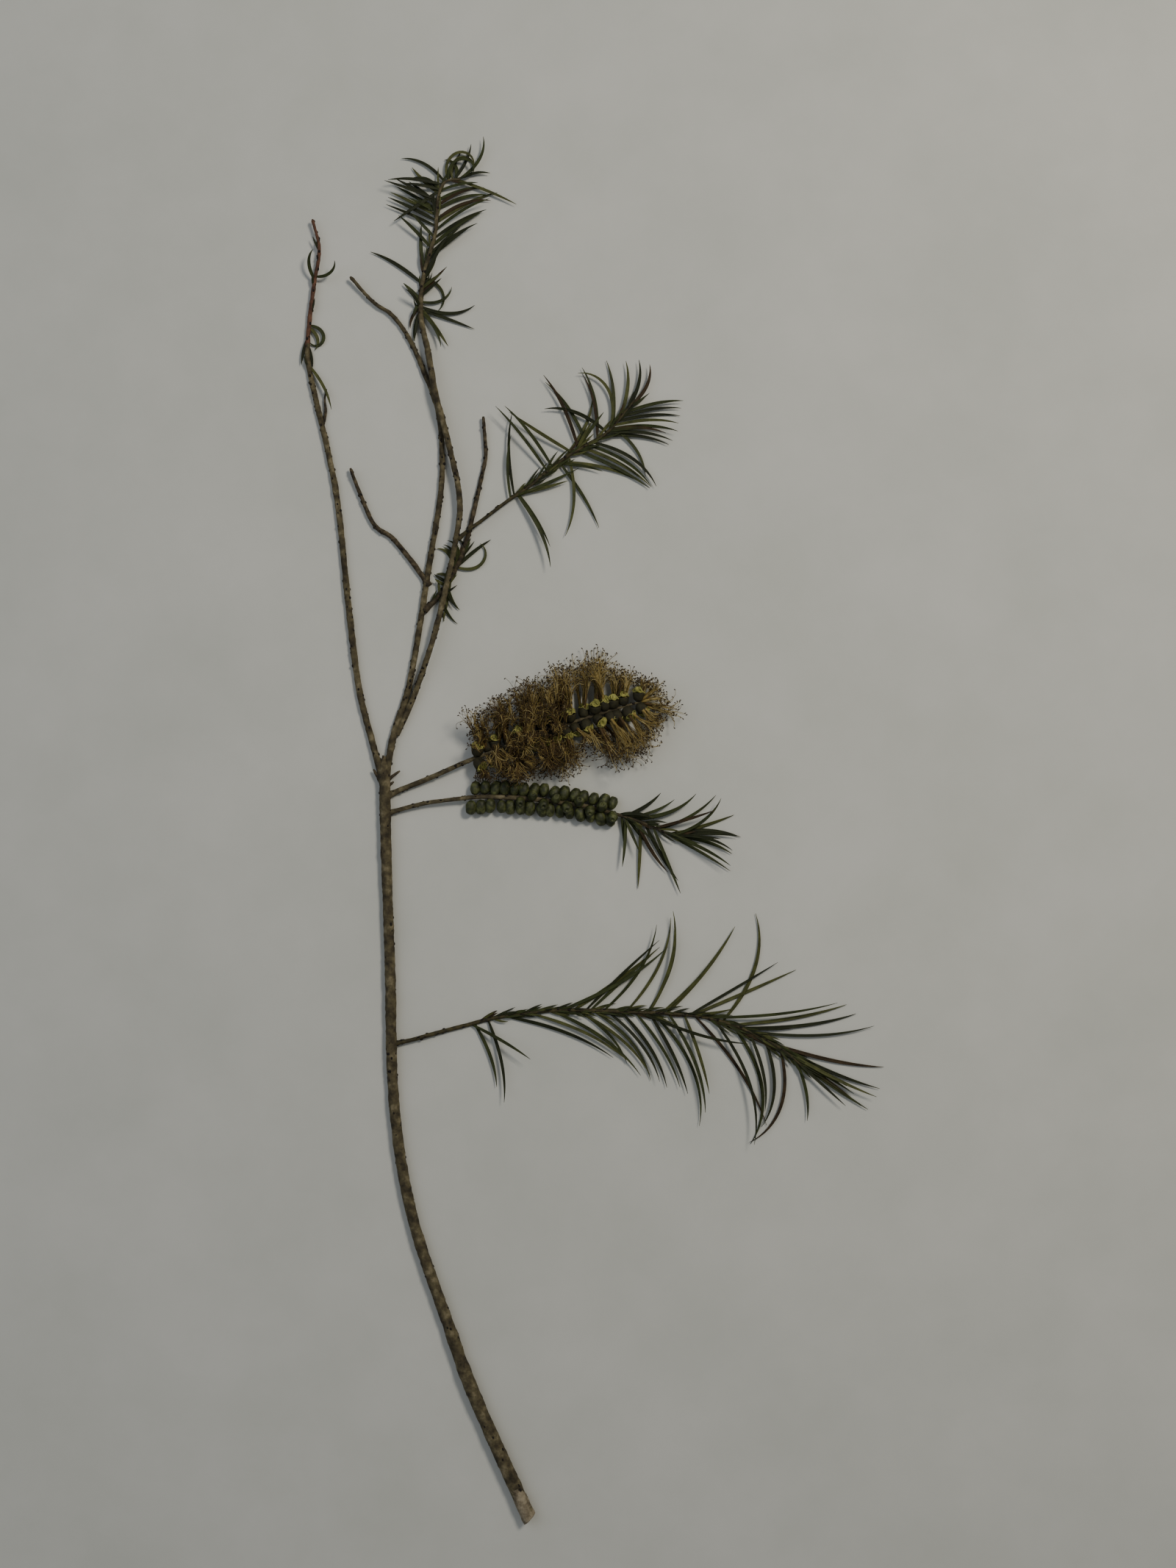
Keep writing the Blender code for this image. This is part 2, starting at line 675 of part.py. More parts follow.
def main_stem(line, parts, finish):
    (body,) = as_meshes([tube("main_stem", line, parts)])
    foot, above = line[0][0], line[1][0]
    along = (above - foot).normalized()
    across = Vector((0, 0, 1)).cross(along)
    slant = math.radians(FOOT_SLANT)
    normal = along * math.cos(slant) + across * math.sin(slant)
    form = bmesh.new()
    form.from_mesh(body.data)
    bmesh.ops.bisect_plane(
        form, geom=[*form.verts, *form.edges, *form.faces],
        plane_co=(foot + along * line[0][1] / 2) * MM, plane_no=normal, clear_inner=True,
    )
    bmesh.ops.holes_fill(form, edges=form.edges)
    form.to_mesh(body.data)
    form.free()
    body.data.materials.append(finish)
    return body


def build():
    for item in list(bpy.data.objects):
        bpy.data.objects.remove(item)
    parts = new_collection("honey_myrtle_branch")
    bark = material("grey bark", BARK)
    twig = material("dark twig bark", TWIG_BARK)
    leaf = material("dry leaf", LEAF_GREEN)
    blossom = material("dry stamens", BLOSSOM)
    fruit = material("seed capsule", CAPSULE_GREEN)

    (main,) = pieces_of(MAIN_STEM)
    left, left_tip = pieces_of(LEFT_LIMB, main)
    (middle,) = pieces_of(MIDDLE_LIMB, main)
    right, top = pieces_of(RIGHT_LIMB, middle)
    (left_twig,) = pieces_of(LEFT_TWIG, middle)
    knot, upright = pieces_of(UPRIGHT_TWIG, middle)
    shoot, middle_mass = pieces_of(MIDDLE_SHOOT, right)
    flower_stalk, flower = pieces_of(FLOWER_AXIS, main)
    fruit_stalk, fruit_axis, fruit_mass = pieces_of(FRUIT_AXIS, main)
    lower, lower_mass = pieces_of(LOWER_SHOOT, main)
    (spur,) = pieces_of(LEFT_SPUR, left)
    (stub,) = pieces_of(FORK_STUB, main)
    (bud,) = pieces_of(FORK_BUD, main)

    main_stem(main, parts, bark)
    tube("left_limb", left, parts, bark)
    tube("middle_limb", middle, parts, bark)
    tube("right_limb", right, parts, bark)
    tube("left_side_twig", left_twig, parts, twig)
    tube("upright_twig", upright, parts, twig)
    tube("middle_shoot_stem", shoot, parts, twig)
    tube("flower_stalk", flower_stalk, parts, twig)
    tube("fruit_stalk", fruit_stalk, parts, twig)
    tube("lower_shoot_stem", lower, parts, twig)
    tube("left_spur", spur, parts, twig)
    tube("fork_stub", stub, parts, twig)
    tube("fork_bud", bud, parts, twig)

    limbs = [
        main, left, middle, right, left_twig, upright, shoot, flower_stalk, fruit_stalk, lower, spur,
    ]
    masses = (
        ("left_tip_foliage", left_tip, LEFT_TIP_FANS, LEAF_RISE),
        ("top_foliage", top, TOP_FANS, LEAF_RISE),
        ("knot_foliage", knot, KNOT_FANS, KNOT_RISE),
        ("middle_foliage", middle_mass, MIDDLE_FANS, LEAF_RISE),
        ("fruit_shoot_foliage", fruit_mass, FRUIT_SHOOT_FANS, LEAF_RISE),
        ("lower_foliage", lower_mass, LOWER_FANS, LEAF_RISE),
    )
    for i, (name, stem, fans, rise) in enumerate(masses):
        foliage(name, stem, fans, rise, SEED + i, limbs, parts, leaf)
    flower_spike("flower_spike", flower, fruit_axis, parts, blossom)
    fruit_spike("fruit_spike", fruit_axis, parts, fruit)


build()
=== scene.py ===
# Cut flowering branch of a narrow-leaved shrub, dried, lying flat and seen from above.
import math
import random

import bmesh
import bpy
from mathutils import Matrix, Vector, noise


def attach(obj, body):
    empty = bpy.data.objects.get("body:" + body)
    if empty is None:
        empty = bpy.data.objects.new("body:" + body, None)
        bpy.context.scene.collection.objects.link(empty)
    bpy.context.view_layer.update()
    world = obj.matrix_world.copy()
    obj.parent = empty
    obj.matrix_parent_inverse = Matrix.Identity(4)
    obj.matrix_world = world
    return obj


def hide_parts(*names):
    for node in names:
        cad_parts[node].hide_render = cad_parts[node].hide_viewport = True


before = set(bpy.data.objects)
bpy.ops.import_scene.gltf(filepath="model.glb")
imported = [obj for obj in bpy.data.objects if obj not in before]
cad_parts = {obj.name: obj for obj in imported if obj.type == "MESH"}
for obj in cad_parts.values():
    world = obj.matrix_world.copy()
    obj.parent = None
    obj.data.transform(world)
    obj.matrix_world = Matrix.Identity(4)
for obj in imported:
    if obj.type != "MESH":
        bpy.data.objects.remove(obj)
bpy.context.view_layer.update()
mm = 0.001
seed = 7

# Each limb is one smooth line through a few places: x, y and how far its
# underside is above the surface. radii are spaced evenly along it. cuts are the
# lengths along it where one piece ends and the next begins.
mainStem = {
    "route": (
        (-15.6, -173.4, 0), (-29.5, -142.5, 0), (-36, -125, 0), (-45.5, -96.5, 0),
        (-50, -68.5, 0), (-51, -35, 0), (-52, -5, 0), (-52.4, 15.5, 0),
    ),
    "radii": (1.8, 1.7, 1.45, 1.34, 1.34, 1.34, 1.45),
}
leftLimb = {
    "route": (
        (-53.7, 15.8, 0.3), (-56, 24, 0), (-59, 36.5, 0), (-61.5, 56.5, 0), (-64, 80.5, 0),
        (-66.5, 94.5, 0), (-70, 109.5, 0), (-71.8, 119, 0), (-71.3, 128, 0.3),
        (-70, 138, 0.6), (-68.8, 146, 0.8), (-70.5, 153.4, 1.2),
    ),
    "radii": (0.85, 0.8, 0.75, 0.65, 0.35),
    "cuts": (101,),
}
middleLimb = {
    "route": (
        (-51.6, 15.8, 0.3), (-50, 24.5, 0), (-46.5, 35.5, 0), (-43.5, 52, 0), (-41.5, 65, 0),
        (-38.5, 83.5, 0), (-38, 94.5, 0), (-39, 105.5, 0), (-43, 116.5, 0), (-46.5, 124, 0.1),
        (-50.5, 129.5, 0.3), (-55.5, 133, 0.6), (-61, 139, 1.2),
    ),
    "radii": (0.9, 0.76, 0.72, 0.66, 0.4),
}
rightLimb = {
    "route": (
        (-49.4, 24, 0), (-46.4, 30.5, 0.4), (-44, 36.5, 0.9), (-39, 52, 1.8), (-34.5, 72.5, 1.8),
        (-33.5, 83.5, 1.6), (-36.5, 98, 1.7), (-39.5, 109.5, 2), (-41.5, 120.5, 1.2),
        (-43.4, 130, 0.3), (-42.5, 140, 0), (-39.8, 150, 0), (-39, 159, 0.2),
        (-37.2, 163, 0.5), (-33.3, 163.6, 1),
    ),
    "radii": (0.75, 0.7, 0.7, 0.72, 0.8, 0.55, 0.3),
    "cuts": (107,),
}
leftTwig = {
    "route": (
        (-41.2, 61.5, 0), (-45.5, 67.5, 0), (-50.5, 73.5, 0), (-55, 76.8, 0.2),
        (-58.5, 84.5, 0.5), (-61, 91, 1),
    ),
    "radii": (0.7, 0.6, 0.4),
}
uprightTwig = {
    "route": (
        (-42.5, 55.2, 0), (-38, 60, 0), (-34, 67, 0), (-31.8, 73, 0), (-30.2, 79.5, 0),
        (-28.5, 87, 0), (-27.1, 93.5, 0.2), (-27.2, 98, 0.4), (-27.6, 104, 0.8),
    ),
    "radii": (0.72, 0.6, 0.4),
    "cuts": (22.5,),
}
middleShoot = {
    "route": (
        (-34, 73, 1.9), (-31, 75.5, 1.8), (-27, 78.5, 1.4), (-21.6, 82.7, 0.8), (-16, 86.6, 0.5),
        (-8, 93, 0.5), (-2, 96.7, 0.6), (3.5, 100, 0.8), (8, 105, 1), (10.5, 108.2, 1.2),
    ),
    "radii": (0.46, 0.46, 0.42, 0.28),
    "cuts": (15.5,),
}
flowerAxis = {
    "route": (
        (-52, 8.6, 0.6), (-48, 10.4, 0.7), (-42, 12.8, 1), (-38.3, 14.4, 1.5), (-31, 17.6, 2.2),
        (-23.5, 20.4, 2.6), (-16, 23.5, 2.6), (-5, 27.2, 2.6), (6, 30.6, 2.6), (12.2, 32.4, 2.6),
    ),
    "radii": (0.72, 0.58, 0.5, 0.45, 0.3),
    "cuts": (23.3,),
}
fruitAxis = {
    "route": (
        (-52, 4.2, 0.7), (-48.5, 5.3, 0.8), (-42, 6.9, 1.2), (-34.5, 7.9, 1.6), (-27.2, 8.5, 1.7),
        (-16, 8, 1.6), (-8.7, 7.1, 1.5), (-1.3, 6, 1.4), (5.2, 4.3, 1.2), (11.7, 2.3, 0.9),
        (17.2, -0.1, 0.6), (19.4, -1.2, 0.5), (22.8, -1.5, 0.5),
    ),
    "radii": (0.58, 0.5, 0.6, 0.6, 0.4, 0.25),
    "cuts": (20.6, 58.4),
}
lowerShoot = {
    "route": (
        (-50.8, -53.6, 0.8), (-45.7, -52.6, 0.6), (-38.3, -50.6, 0.2), (-32.4, -49.1, 0),
        (-23.5, -46.9, 0), (-8.7, -45.2, 0), (8, -45.6, 0), (24.6, -46.5, 0.1), (35.7, -49.1, 0.2),
        (46.8, -54.5, 0.5), (52.4, -59.1, 0.8),
    ),
    "radii": (0.55, 0.48, 0.48, 0.42, 0.3),
    "cuts": (18.9,),
}
leftSpur = {
    "route": ((-68, 101.6, 0.1), (-67.3, 105.1, 0.2), (-67.5, 108.2, 0.4), (-67, 111, 0.6)),
    "radii": (0.4, 0.33, 0.2),
}
forkStub = {
    "route": ((-51.5, 12.6, 0.9), (-50.2, 13.8, 1), (-48.5, 15, 1.2)),
    "radii": (0.45, 0.25),
}
forkBud = {
    "route": ((-53.2, 12.6, 0.9), (-54.2, 13.8, 0.9), (-55.2, 15.4, 1)),
    "radii": (0.55, 0.3),
}

# The foot was cut slanting across the stem.
footSlant = 21

# A leaf is a narrow blade, flat above and keeled below.
leafWidth = 0.88
leafRest = 0.4
leafRise = 3.4
knotRise = 0.2
aimSpread = 2.5
lengthSpread = 0.04
lateBend = 1.5

# A shoot's leaves grow in fans. Each fan has a number of leaves, and its first
# and last leaf's share of the way along the shoot, aim in degrees round from +X,
# length, and bend from root to tip in degrees.
leftTipFans = (
    (1, (0.14, 0.14), (-62, -62), (13.5, 13.5), (-30, -30)),
    (2, (0.3, 0.26), (-101, -76), (7, 6), (18, -20)),
    (1, (0.37, 0.37), (-105, -105), (11, 11), (-250, -250)),
    (1, (0.36, 0.36), (-76, -76), (6.5, 6.5), (-95, -95)),
    (2, (0.64, 0.66), (92, 34), (7.5, 7.5), (-70, 117)),
)
topFans = (
    (2, (0.08, 0.11), (-100, -116), (7.5, 6.5), (30, 50)),
    (2, (0.08, 0.1), (-63, -54), (11, 12), (-40, -8)),
    (2, (0.09, 0.11), (-18, 3), (14, 15), (-4, 62)),
    (1, (0.14, 0.14), (26, 26), (9.5, 9.5), (95, 95)),
    (2, (0.1, 0.15), (133, 138), (5.5, 6), (40, 0)),
    (2, (0.2, 0.22), (42, 32), (9, 6), (5, 0)),
    (1, (0.29, 0.29), (-70, -70), (12, 12), (-130, -130)),
    (1, (0.25, 0.25), (146, 146), (15.5, 15.5), (22, 22)),
    (2, (0.26, 0.31), (58, 91), (13.5, 13), (-10, -15)),
    (6, (0.4, 0.64), (34, 26), (13, 17), (-8, -24)),
    (4, (0.66, 0.84), (20, 10), (15.5, 10), (-45, -20)),
    (2, (0.48, 0.55), (134, 136), (11.5, 8), (8, -5)),
    (5, (0.62, 0.75), (158, 150), (14, 12), (4, 8)),
    (2, (0.78, 0.82), (163, 138), (13.5, 10), (0, -16)),
    (1, (0.84, 0.84), (-144, -144), (14, 14), (-2, -2)),
    (2, (0.84, 0.88), (157, 176), (8, 14), (60, 19)),
    (2, (0.92, 0.92), (6, 64), (12.5, 8), (-215, -10)),
    (1, (0.97, 0.97), (118, 118), (7, 7), (110, 110)),
    (2, (0.96, 0.99), (64, 62), (10, 13.5), (31, 70)),
    (2, (0.97, 0.99), (-22, 10), (17, 8), (-9, -40)),
)
knotFans = (
    (2, (0.5, 0.56), (122, 116), (9, 7.2), (100, 74)),
    (1, (0.6, 0.6), (46, 46), (13, 13), (165, 165)),
    (1, (0.6, 0.6), (38, 38), (11.5, 11.5), (-14, -14)),
    (2, (0.38, 0.46), (-66, -98), (7.5, 11.5), (40, 0)),
    (2, (0.4, 0.47), (150, 168), (4, 4), (-20, 30)),
)
middleFans = (
    (2, (0.06, 0.08), (91, -64), (21.5, 20), (-23, -31)),
    (1, (0.05, 0.05), (23, 23), (18.5, 18.5), (7, 7)),
    (2, (0.31, 0.35), (130, 126), (21, 20), (11, 17)),
    (2, (0.43, 0.52), (65, 53), (18.5, 12), (40, -4)),
    (1, (0.5, 0.5), (147, 147), (19.5, 19.5), (-6, -6)),
    (2, (0.54, 0.6), (113, 126), (20, 20), (24, 28)),
    (2, (0.67, 0.76), (100, 118), (19, 20), (33, 115)),
    (1, (0.74, 0.74), (160, 160), (18, 18), (50, 50)),
    (4, (0.79, 0.95), (94, 63), (17.5, 12.5), (25, 60)),
    (1, (0.4, 0.4), (-13, -13), (21, 21), (-29, -29)),
    (2, (0.4, 0.47), (-60, -94), (20, 20), (-17, -39)),
    (4, (0.53, 0.63), (-27, -36), (21, 20), (-15, -52)),
    (1, (0.79, 0.79), (-56, -56), (15.5, 15.5), (-50, -50)),
    (7, (0.7, 0.9), (-8, 12), (17.5, 15), (-32, -22)),
)
fruitShootFans = (
    (1, (0.05, 0.05), (-7, -7), (9, 9), (-43, -43)),
    (3, (0.13, 0.26), (33, 14), (11, 14), (29, 30)),
    (1, (0.2, 0.2), (22, 22), (18, 18), (50, 50)),
    (2, (0.58, 0.63), (19, 30), (15, 17), (7, 32)),
    (3, (0.78, 0.84), (0, 38), (18.5, 16), (-33, 49)),
    (1, (0.82, 0.82), (-1, -1), (17, 17), (-15, -15)),
    (3, (0.09, 0.16), (-86, -52), (8, 11), (-10, 5)),
    (1, (0.15, 0.15), (-93, -93), (13, 13), (-8, -8)),
    (3, (0.3, 0.55), (-58, -66), (15, 17.5), (20, 0)),
    (1, (0.37, 0.37), (-95, -95), (17, 17), (-2, -2)),
    (4, (0.74, 0.86), (-31, -12), (18.5, 16), (-8, -41)),
)
lowerFans = (
    (3, (0.28, 0.35), (31, 45), (31, 25), (22, -5)),
    (3, (0.4, 0.53), (58, 75), (26, 28), (40, 41)),
    (2, (0.58, 0.65), (54, 24), (27.5, 28), (16, 2)),
    (2, (0.62, 0.69), (9, 9), (13, 32), (18, 14)),
    (1, (0.74, 0.74), (75, 75), (30, 30), (58, 58)),
    (3, (0.77, 0.82), (11, 1), (29, 32), (15, 24)),
    (1, (0.79, 0.79), (-1, -1), (14, 14), (10, 10)),
    (1, (0.02, 0.02), (-27, -27), (17, 17), (-12, -12)),
    (2, (0.03, 0.07), (-73, -78), (17, 21), (-28, -28)),
    (4, (0.12, 0.32), (-19, -41), (30, 26), (-25, -36)),
    (5, (0.37, 0.53), (-50, -63), (23, 23), (-45, -18)),
    (1, (0.51, 0.51), (-18, -18), (28, 28), (20, 20)),
    (3, (0.54, 0.63), (-66, -70), (31, 21), (-55, -12)),
    (3, (0.66, 0.77), (-56, -84), (34, 32.5), (-26, -70)),
    (3, (0.82, 0.92), (-78, -108), (20, 27), (-32, -80)),
    (4, (0.9, 0.95), (-14, -36), (27.5, 25), (16, 6)),
    (2, (0.96, 0.98), (-41, -78), (18, 15), (0, -30)),
)

# The flower spike: cups close along its stalk on both sides, each with bundles of
# stamens that reach to the brush's outline, and a few bundles at its tip. The
# reaches are how far the brush stands from the stalk, evenly spaced from foot to tip, and
# a lean is how far its bundles turn from square to the stalk.
brushSides = (
    (1, (6, 9.5, 14.5, 17, 15.5, 15, 15.5, 17, 16, 8.5, 7.5), -19),
    (-1, (6, 9.5, 10, 10, 11, 13, 8, 15.5, 17, 13, 9), -17),
)
tipBundles = ((40, 7.5), (12, 7), (-14, 11), (-50, 9))

# The fruit spike: seed capsules sit tight along its stalk in a row on each side,
# and more lie on top of its further half.
capsulesPerSide = 15
capsulesOnTop = 9
topFrom = 0.36
capsuleWidth = 2.7
capsuleLength = 3.9
capsuleOut = 2.45
fruitHalfWidth = 4.8
fruitAim = -6
capsuleLean = 22

# Bark, with lengths in mm. Scars stand closer on thin limbs, and none are below
# scarAbove.
bark = {
    "step": 0.55, "sides": 6, "relief": 0.13, "grainMm": 1.1, "swell": 0.09, "swellEvery": 3.1,
    "collarReach": 1.6, "tipNarrows": 0.6, "scarEvery": 1.2, "scarSize": (0.17, 0.34),
    "scarShape": (1.5, 1, 0.8), "scarSink": 0.94, "scarAbove": 0.3,
}
# Where a limb's bark changes: its other finish, the height of the change, how far
# that wanders, the size of the wander, and the side with the other finish.
barkChanges = {
    "main_stem_bark": ("peeledBark", -166, 7, 4, -1),
    "left_limb_bark": ("redBark", 118, 8, 5, 1),
}
# How a blade looks, and the two kinds of leaves that the solids don't have: shorter
# companions of the fans' leaves, and short leaves that lie along the stem.
leafLook = {"points": 18, "stemStep": 1.5, "twist": 12, "width": (0.84, 1.1)}
companion = {
    "shift": (-1.5, 1.5), "length": (0.55, 0.92), "turn": (-9, 9), "bend": (0.5, 1.1),
    "rise": (0, 2), "width": 0.9, "upTo": 0.86,
}
stemLeaf = {
    "share": (0.02, 0.99), "ahead": 0.03, "turn": (4, 22), "length": (3, 7.2), "bend": (0, 26),
    "rise": (0, 1), "width": 0.55,
}
leafOutline = (
    (-0.5, 0.1), (-0.24, 0.02), (0, -0.03), (0.24, 0.02),
    (0.5, 0.1), (0.4, -0.08), (0, -0.28), (-0.4, -0.08),
)
leafTaper = (0.55, 0.86, 1, 1.02, 1, 0.92, 0.74, 0.48, 0.1)
clawOutline = ((-0.5, 0.06), (0.5, 0.06), (0.42, -0.07), (-0.42, -0.07))
# The brush, with shares of a bundle's reach and turns in degrees.
brush = {
    "flowers": 16, "bundles": 5, "filaments": 15, "jitter": (0.3, 0.7), "flowerTurn": (-14, 14),
    "flowerReach": (0.76, 1.04), "reach": (0.88, 1.04), "tilt": (-26, 50), "spread": (-12, 12),
    "shortest": 3, "shorten": 0.5, "clearOfFruit": 0.9, "lift": 0.5, "heights": (0.4, 7.3),
    "lowest": 0.25, "fanGrowth": (0.4, 1), "brown": {1: 0.55, -1: 0.8}, "brownFoot": 1.25,
}
cup = {
    "rise": (-0.35, 0.6), "turn": (-8, 8), "sink": 0.3, "size": (0.85, 1.05), "mouth": 2.5,
    "sides": 10,
}
petal = {
    "number": 5, "apart": 72, "turn": (-15, 15), "flare": 0.8, "out": 0.9, "size": (1.5, 2.3),
    "roll": (0, 3), "flat": 0.8, "sides": 8,
}
claw = {
    "shares": (0.08, 0.6), "steps": 5, "width": 0.7, "taper": (0.7, 1, 1.1, 1, 0.8, 0.4),
    "alsoBrown": 0.3,
}
filament = {
    "from": (0.3, 0.58), "to": (0.76, 1.12), "steps": 7, "side": (-0.45, 0.45), "fan": 28,
    "curl": 130, "height": (-0.8, 0.8), "thickness": 0.055, "vary": (0.8, 1.2),
    "taper": (1.3, 1.1, 1, 1, 1, 0.9, 0.85, 0.8), "brown": (3, 7, 1), "golden": (7, 2, 4),
}
anther = {"radius": 0.15, "length": 0.46, "hook": (25, 100), "taper": (0.6, 1, 0.5)}
# Loose brown bundles that lie over the nearer part of the stalk.
cover = {
    "bundles": 95, "share": (0.07, 0.56), "side": (-5, 5), "up": (1.8, 3), "aim": (30, 118),
    "reach": (3.5, 9.5), "tilt": (20, 60), "brown": 0.75,
}
tipBundle = {"each": 3, "turn": (-9, 9), "reach": (0.85, 1.05), "tilt": (-15, 25), "brown": 0.2}
sideCapsule = {
    "first": 0.7, "stagger": 0.1, "spare": 0.5, "turn": (-7, 7), "out": (-0.2, 0.2),
    "lift": (0.12, 0.6), "droop": 0.25, "size": (0.9, 1.08), "roll": 1.3,
}
topCapsule = {
    "to": 0.98, "turn": 80, "out": 0.9, "lift": 1.3, "lean": 0.5, "size": (0.85, 1.05),
    "roll": 1.7,
}
up = Vector((0, 0, 1))


def toLinear(colour):
    parts = [int(colour[i:i + 2], 16) / 255 for i in (1, 3, 5)]
    return tuple(p / 12.92 if p <= 0.04045 else ((p + 0.055) / 1.055) ** 2.4 for p in parts) + (1,)


def addNode(tree, kind, settings=None, links=()):
    made = tree.nodes.new(kind)
    for key, value in (settings or {}).items():
        if key[0].islower():
            setattr(made, key, value)
        else:
            made.inputs[key].default_value = value
    for socket, source in links:
        tree.links.new(source, made.inputs[socket])
    return made


def makeFinish(name, look):
    # Patches of several colours with a fine grain that also roughens the surface.
    made = bpy.data.materials.new(name)
    made.use_nodes = True
    tree = made.node_tree
    shader = tree.nodes["Principled BSDF"]
    shader.inputs["Roughness"].default_value = look["roughness"]
    shader.inputs["Specular IOR Level"].default_value = look.get("shine", 0.35)
    place = addNode(tree, "ShaderNodeTexCoord").outputs["Object"]
    patches = addNode(tree, "ShaderNodeTexNoise", {
        "Scale": 1 / (look["patchMm"] * mm), "Detail": 5, "Roughness": 0.62}, [("Vector", place)])
    grain = addNode(tree, "ShaderNodeTexNoise", {
        "Scale": 1 / (look["grainMm"] * mm), "Detail": 3, "Roughness": 0.6}, [("Vector", place)])
    ramp = addNode(tree, "ShaderNodeValToRGB", None, [("Fac", patches.outputs["Fac"])])
    stops = ramp.color_ramp.elements
    colours = look["colours"]
    while len(stops) < len(colours):
        stops.new(0.5)
    rampFrom, rampSpan = 0.34, 0.32
    for i, colour in enumerate(colours):
        stops[i].position = rampFrom + rampSpan * i / (len(colours) - 1)
        stops[i].color = toLinear(colour)
    tree.links.new(ramp.outputs["Color"], shader.inputs["Base Color"])
    bump = addNode(tree, "ShaderNodeBump", {
        "Strength": look.get("bump", 0.4), "Distance": look.get("bumpMm", 0.08) * mm},
        [("Height", grain.outputs["Fac"])])
    tree.links.new(bump.outputs["Normal"], shader.inputs["Normal"])
    return made


finishes = {
    # Weathered outer bark: olive brown with paler flakes and dark cracks, dull.
    "greyBark": {"colours": ("#2c281c", "#433c2b", "#575039", "#766d54"), "roughness": 0.9,
                 "patchMm": 2.6, "grainMm": 0.35, "bump": 0.7, "bumpMm": 0.12},
    # The last of the stem above the cut has lost its outer bark and is paler.
    "peeledBark": {"colours": ("#4f4636", "#756b56", "#958b74"), "roughness": 0.8,
                   "patchMm": 2.0, "grainMm": 0.3, "bump": 0.6, "bumpMm": 0.1},
    # Bare young wood at the left tip, reddish brown.
    "redBark": {"colours": ("#35231a", "#523728", "#6d4c38"), "roughness": 0.8,
                "patchMm": 1.8, "grainMm": 0.3, "bump": 0.6, "bumpMm": 0.1},
    # The stems of leafy shoots are still green under brown.
    "youngBark": {"colours": ("#1f1c10", "#353019", "#4a4326"), "roughness": 0.75,
                  "patchMm": 1.4, "grainMm": 0.3, "bump": 0.5, "bumpMm": 0.08},
    # Young bark, brown-black and a little smoother.
    "twigBark": {"colours": ("#1f1b12", "#3b3323", "#5a503b"), "roughness": 0.82,
                 "patchMm": 1.4, "grainMm": 0.3, "bump": 0.6, "bumpMm": 0.1},
    # Leaf scars and old leaf bases, almost black.
    "scarBark": {"colours": ("#0e0a07", "#1f1812"), "roughness": 0.85,
                 "patchMm": 0.8, "grainMm": 0.2},
    # Dried leaves keep a dark olive green, with a faint waxy shine.
    "leafDark": {"colours": ("#191d0d", "#282d15"), "roughness": 0.62, "shine": 0.2,
                 "patchMm": 2.4, "grainMm": 0.3},
    "leafGreen": {"colours": ("#232912", "#383f1d"), "roughness": 0.6, "shine": 0.2,
                  "patchMm": 2.6, "grainMm": 0.3},
    "leafOlive": {"colours": ("#34381a", "#4f5229"), "roughness": 0.6, "shine": 0.22,
                  "patchMm": 2.2, "grainMm": 0.3},
    "leafBrown": {"colours": ("#241c10", "#3d301b"), "roughness": 0.65, "shine": 0.2,
                  "patchMm": 2.0, "grainMm": 0.3},
    # Dried stamens, thin and golden tan.
    "stamenGold": {"colours": ("#665523", "#9a864c"), "roughness": 0.6,
                   "patchMm": 3, "grainMm": 0.3},
    "stamenBrown": {"colours": ("#33260f", "#594420"), "roughness": 0.65,
                    "patchMm": 3, "grainMm": 0.3},
    "stamenPale": {"colours": ("#8b7c49", "#b8a873"), "roughness": 0.55,
                   "patchMm": 3, "grainMm": 0.3},
    # Anthers, the stamens' dark dry ends.
    "anther": {"colours": ("#241b0d", "#4a3a1b"), "roughness": 0.7,
               "patchMm": 0.6, "grainMm": 0.2},
    # Flower cups are hairy and dark brown, deepened to near black with painted shade for the
    # shadow they lie in between the stamens by the stalk; petals thin and yellow-green.
    "flowerCupAndShade": {"colours": ("#1d1c10", "#33301a"), "roughness": 0.8,
                  "patchMm": 0.9, "grainMm": 0.2},
    "petal": {"colours": ("#6c6d30", "#a3a05a"), "roughness": 0.6,
              "patchMm": 1.1, "grainMm": 0.25},
    # Woody seed capsules, dark olive with lighter streaks.
    "capsule": {"colours": ("#1c200f", "#353a1d", "#5a5f36"), "roughness": 0.55, "patchMm": 1.5,
                "grainMm": 0.3, "bump": 0.5, "bumpMm": 0.1},
    # The bare sheet under the branch, matte and pale.
    "paper": {"colours": ("#bfc1b9", "#c7c8c1"), "roughness": 0.95, "patchMm": 40, "grainMm": 0.5,
              "bump": 0.05, "shine": 0.1},
}
materials = {name: makeFinish(name, look) for name, look in finishes.items()}


def between(ends, share):
    return ends[0] + (ends[1] - ends[0]) * share


def spaced(values, share):
    place = min(max(share, 0), 1) * (len(values) - 1)
    first = min(int(place), len(values) - 2)
    return between(values[first:first + 2], place - first)


def heading(degrees):
    return Vector((math.cos(math.radians(degrees)), math.sin(math.radians(degrees)), 0))


def smoothLine(points, perSpan=24):
    points = [Vector(p) for p in points]
    padded = [2 * points[0] - points[1], *points, 2 * points[-1] - points[-2]]
    line = []
    for a, b, c, d in zip(padded, padded[1:], padded[2:], padded[3:]):
        for i in range(perSpan):
            t = i / perSpan
            line.append(0.5 * (2 * b + (c - a) * t + (2 * a - 5 * b + 4 * c - d) * t * t
                               + (3 * b - a - 3 * c + d) * t ** 3))
    return line + [points[-1]]


def lengthsOf(line):
    lengths = [0]
    for a, b in zip(line, line[1:]):
        lengths.append(lengths[-1] + (b - a).length)
    return lengths


def atLength(line, lengths, wanted):
    for i in range(1, len(line)):
        if lengths[i] >= wanted:
            share = (wanted - lengths[i - 1]) / (lengths[i] - lengths[i - 1])
            return line[i - 1].lerp(line[i], share)
    return line[-1].copy()


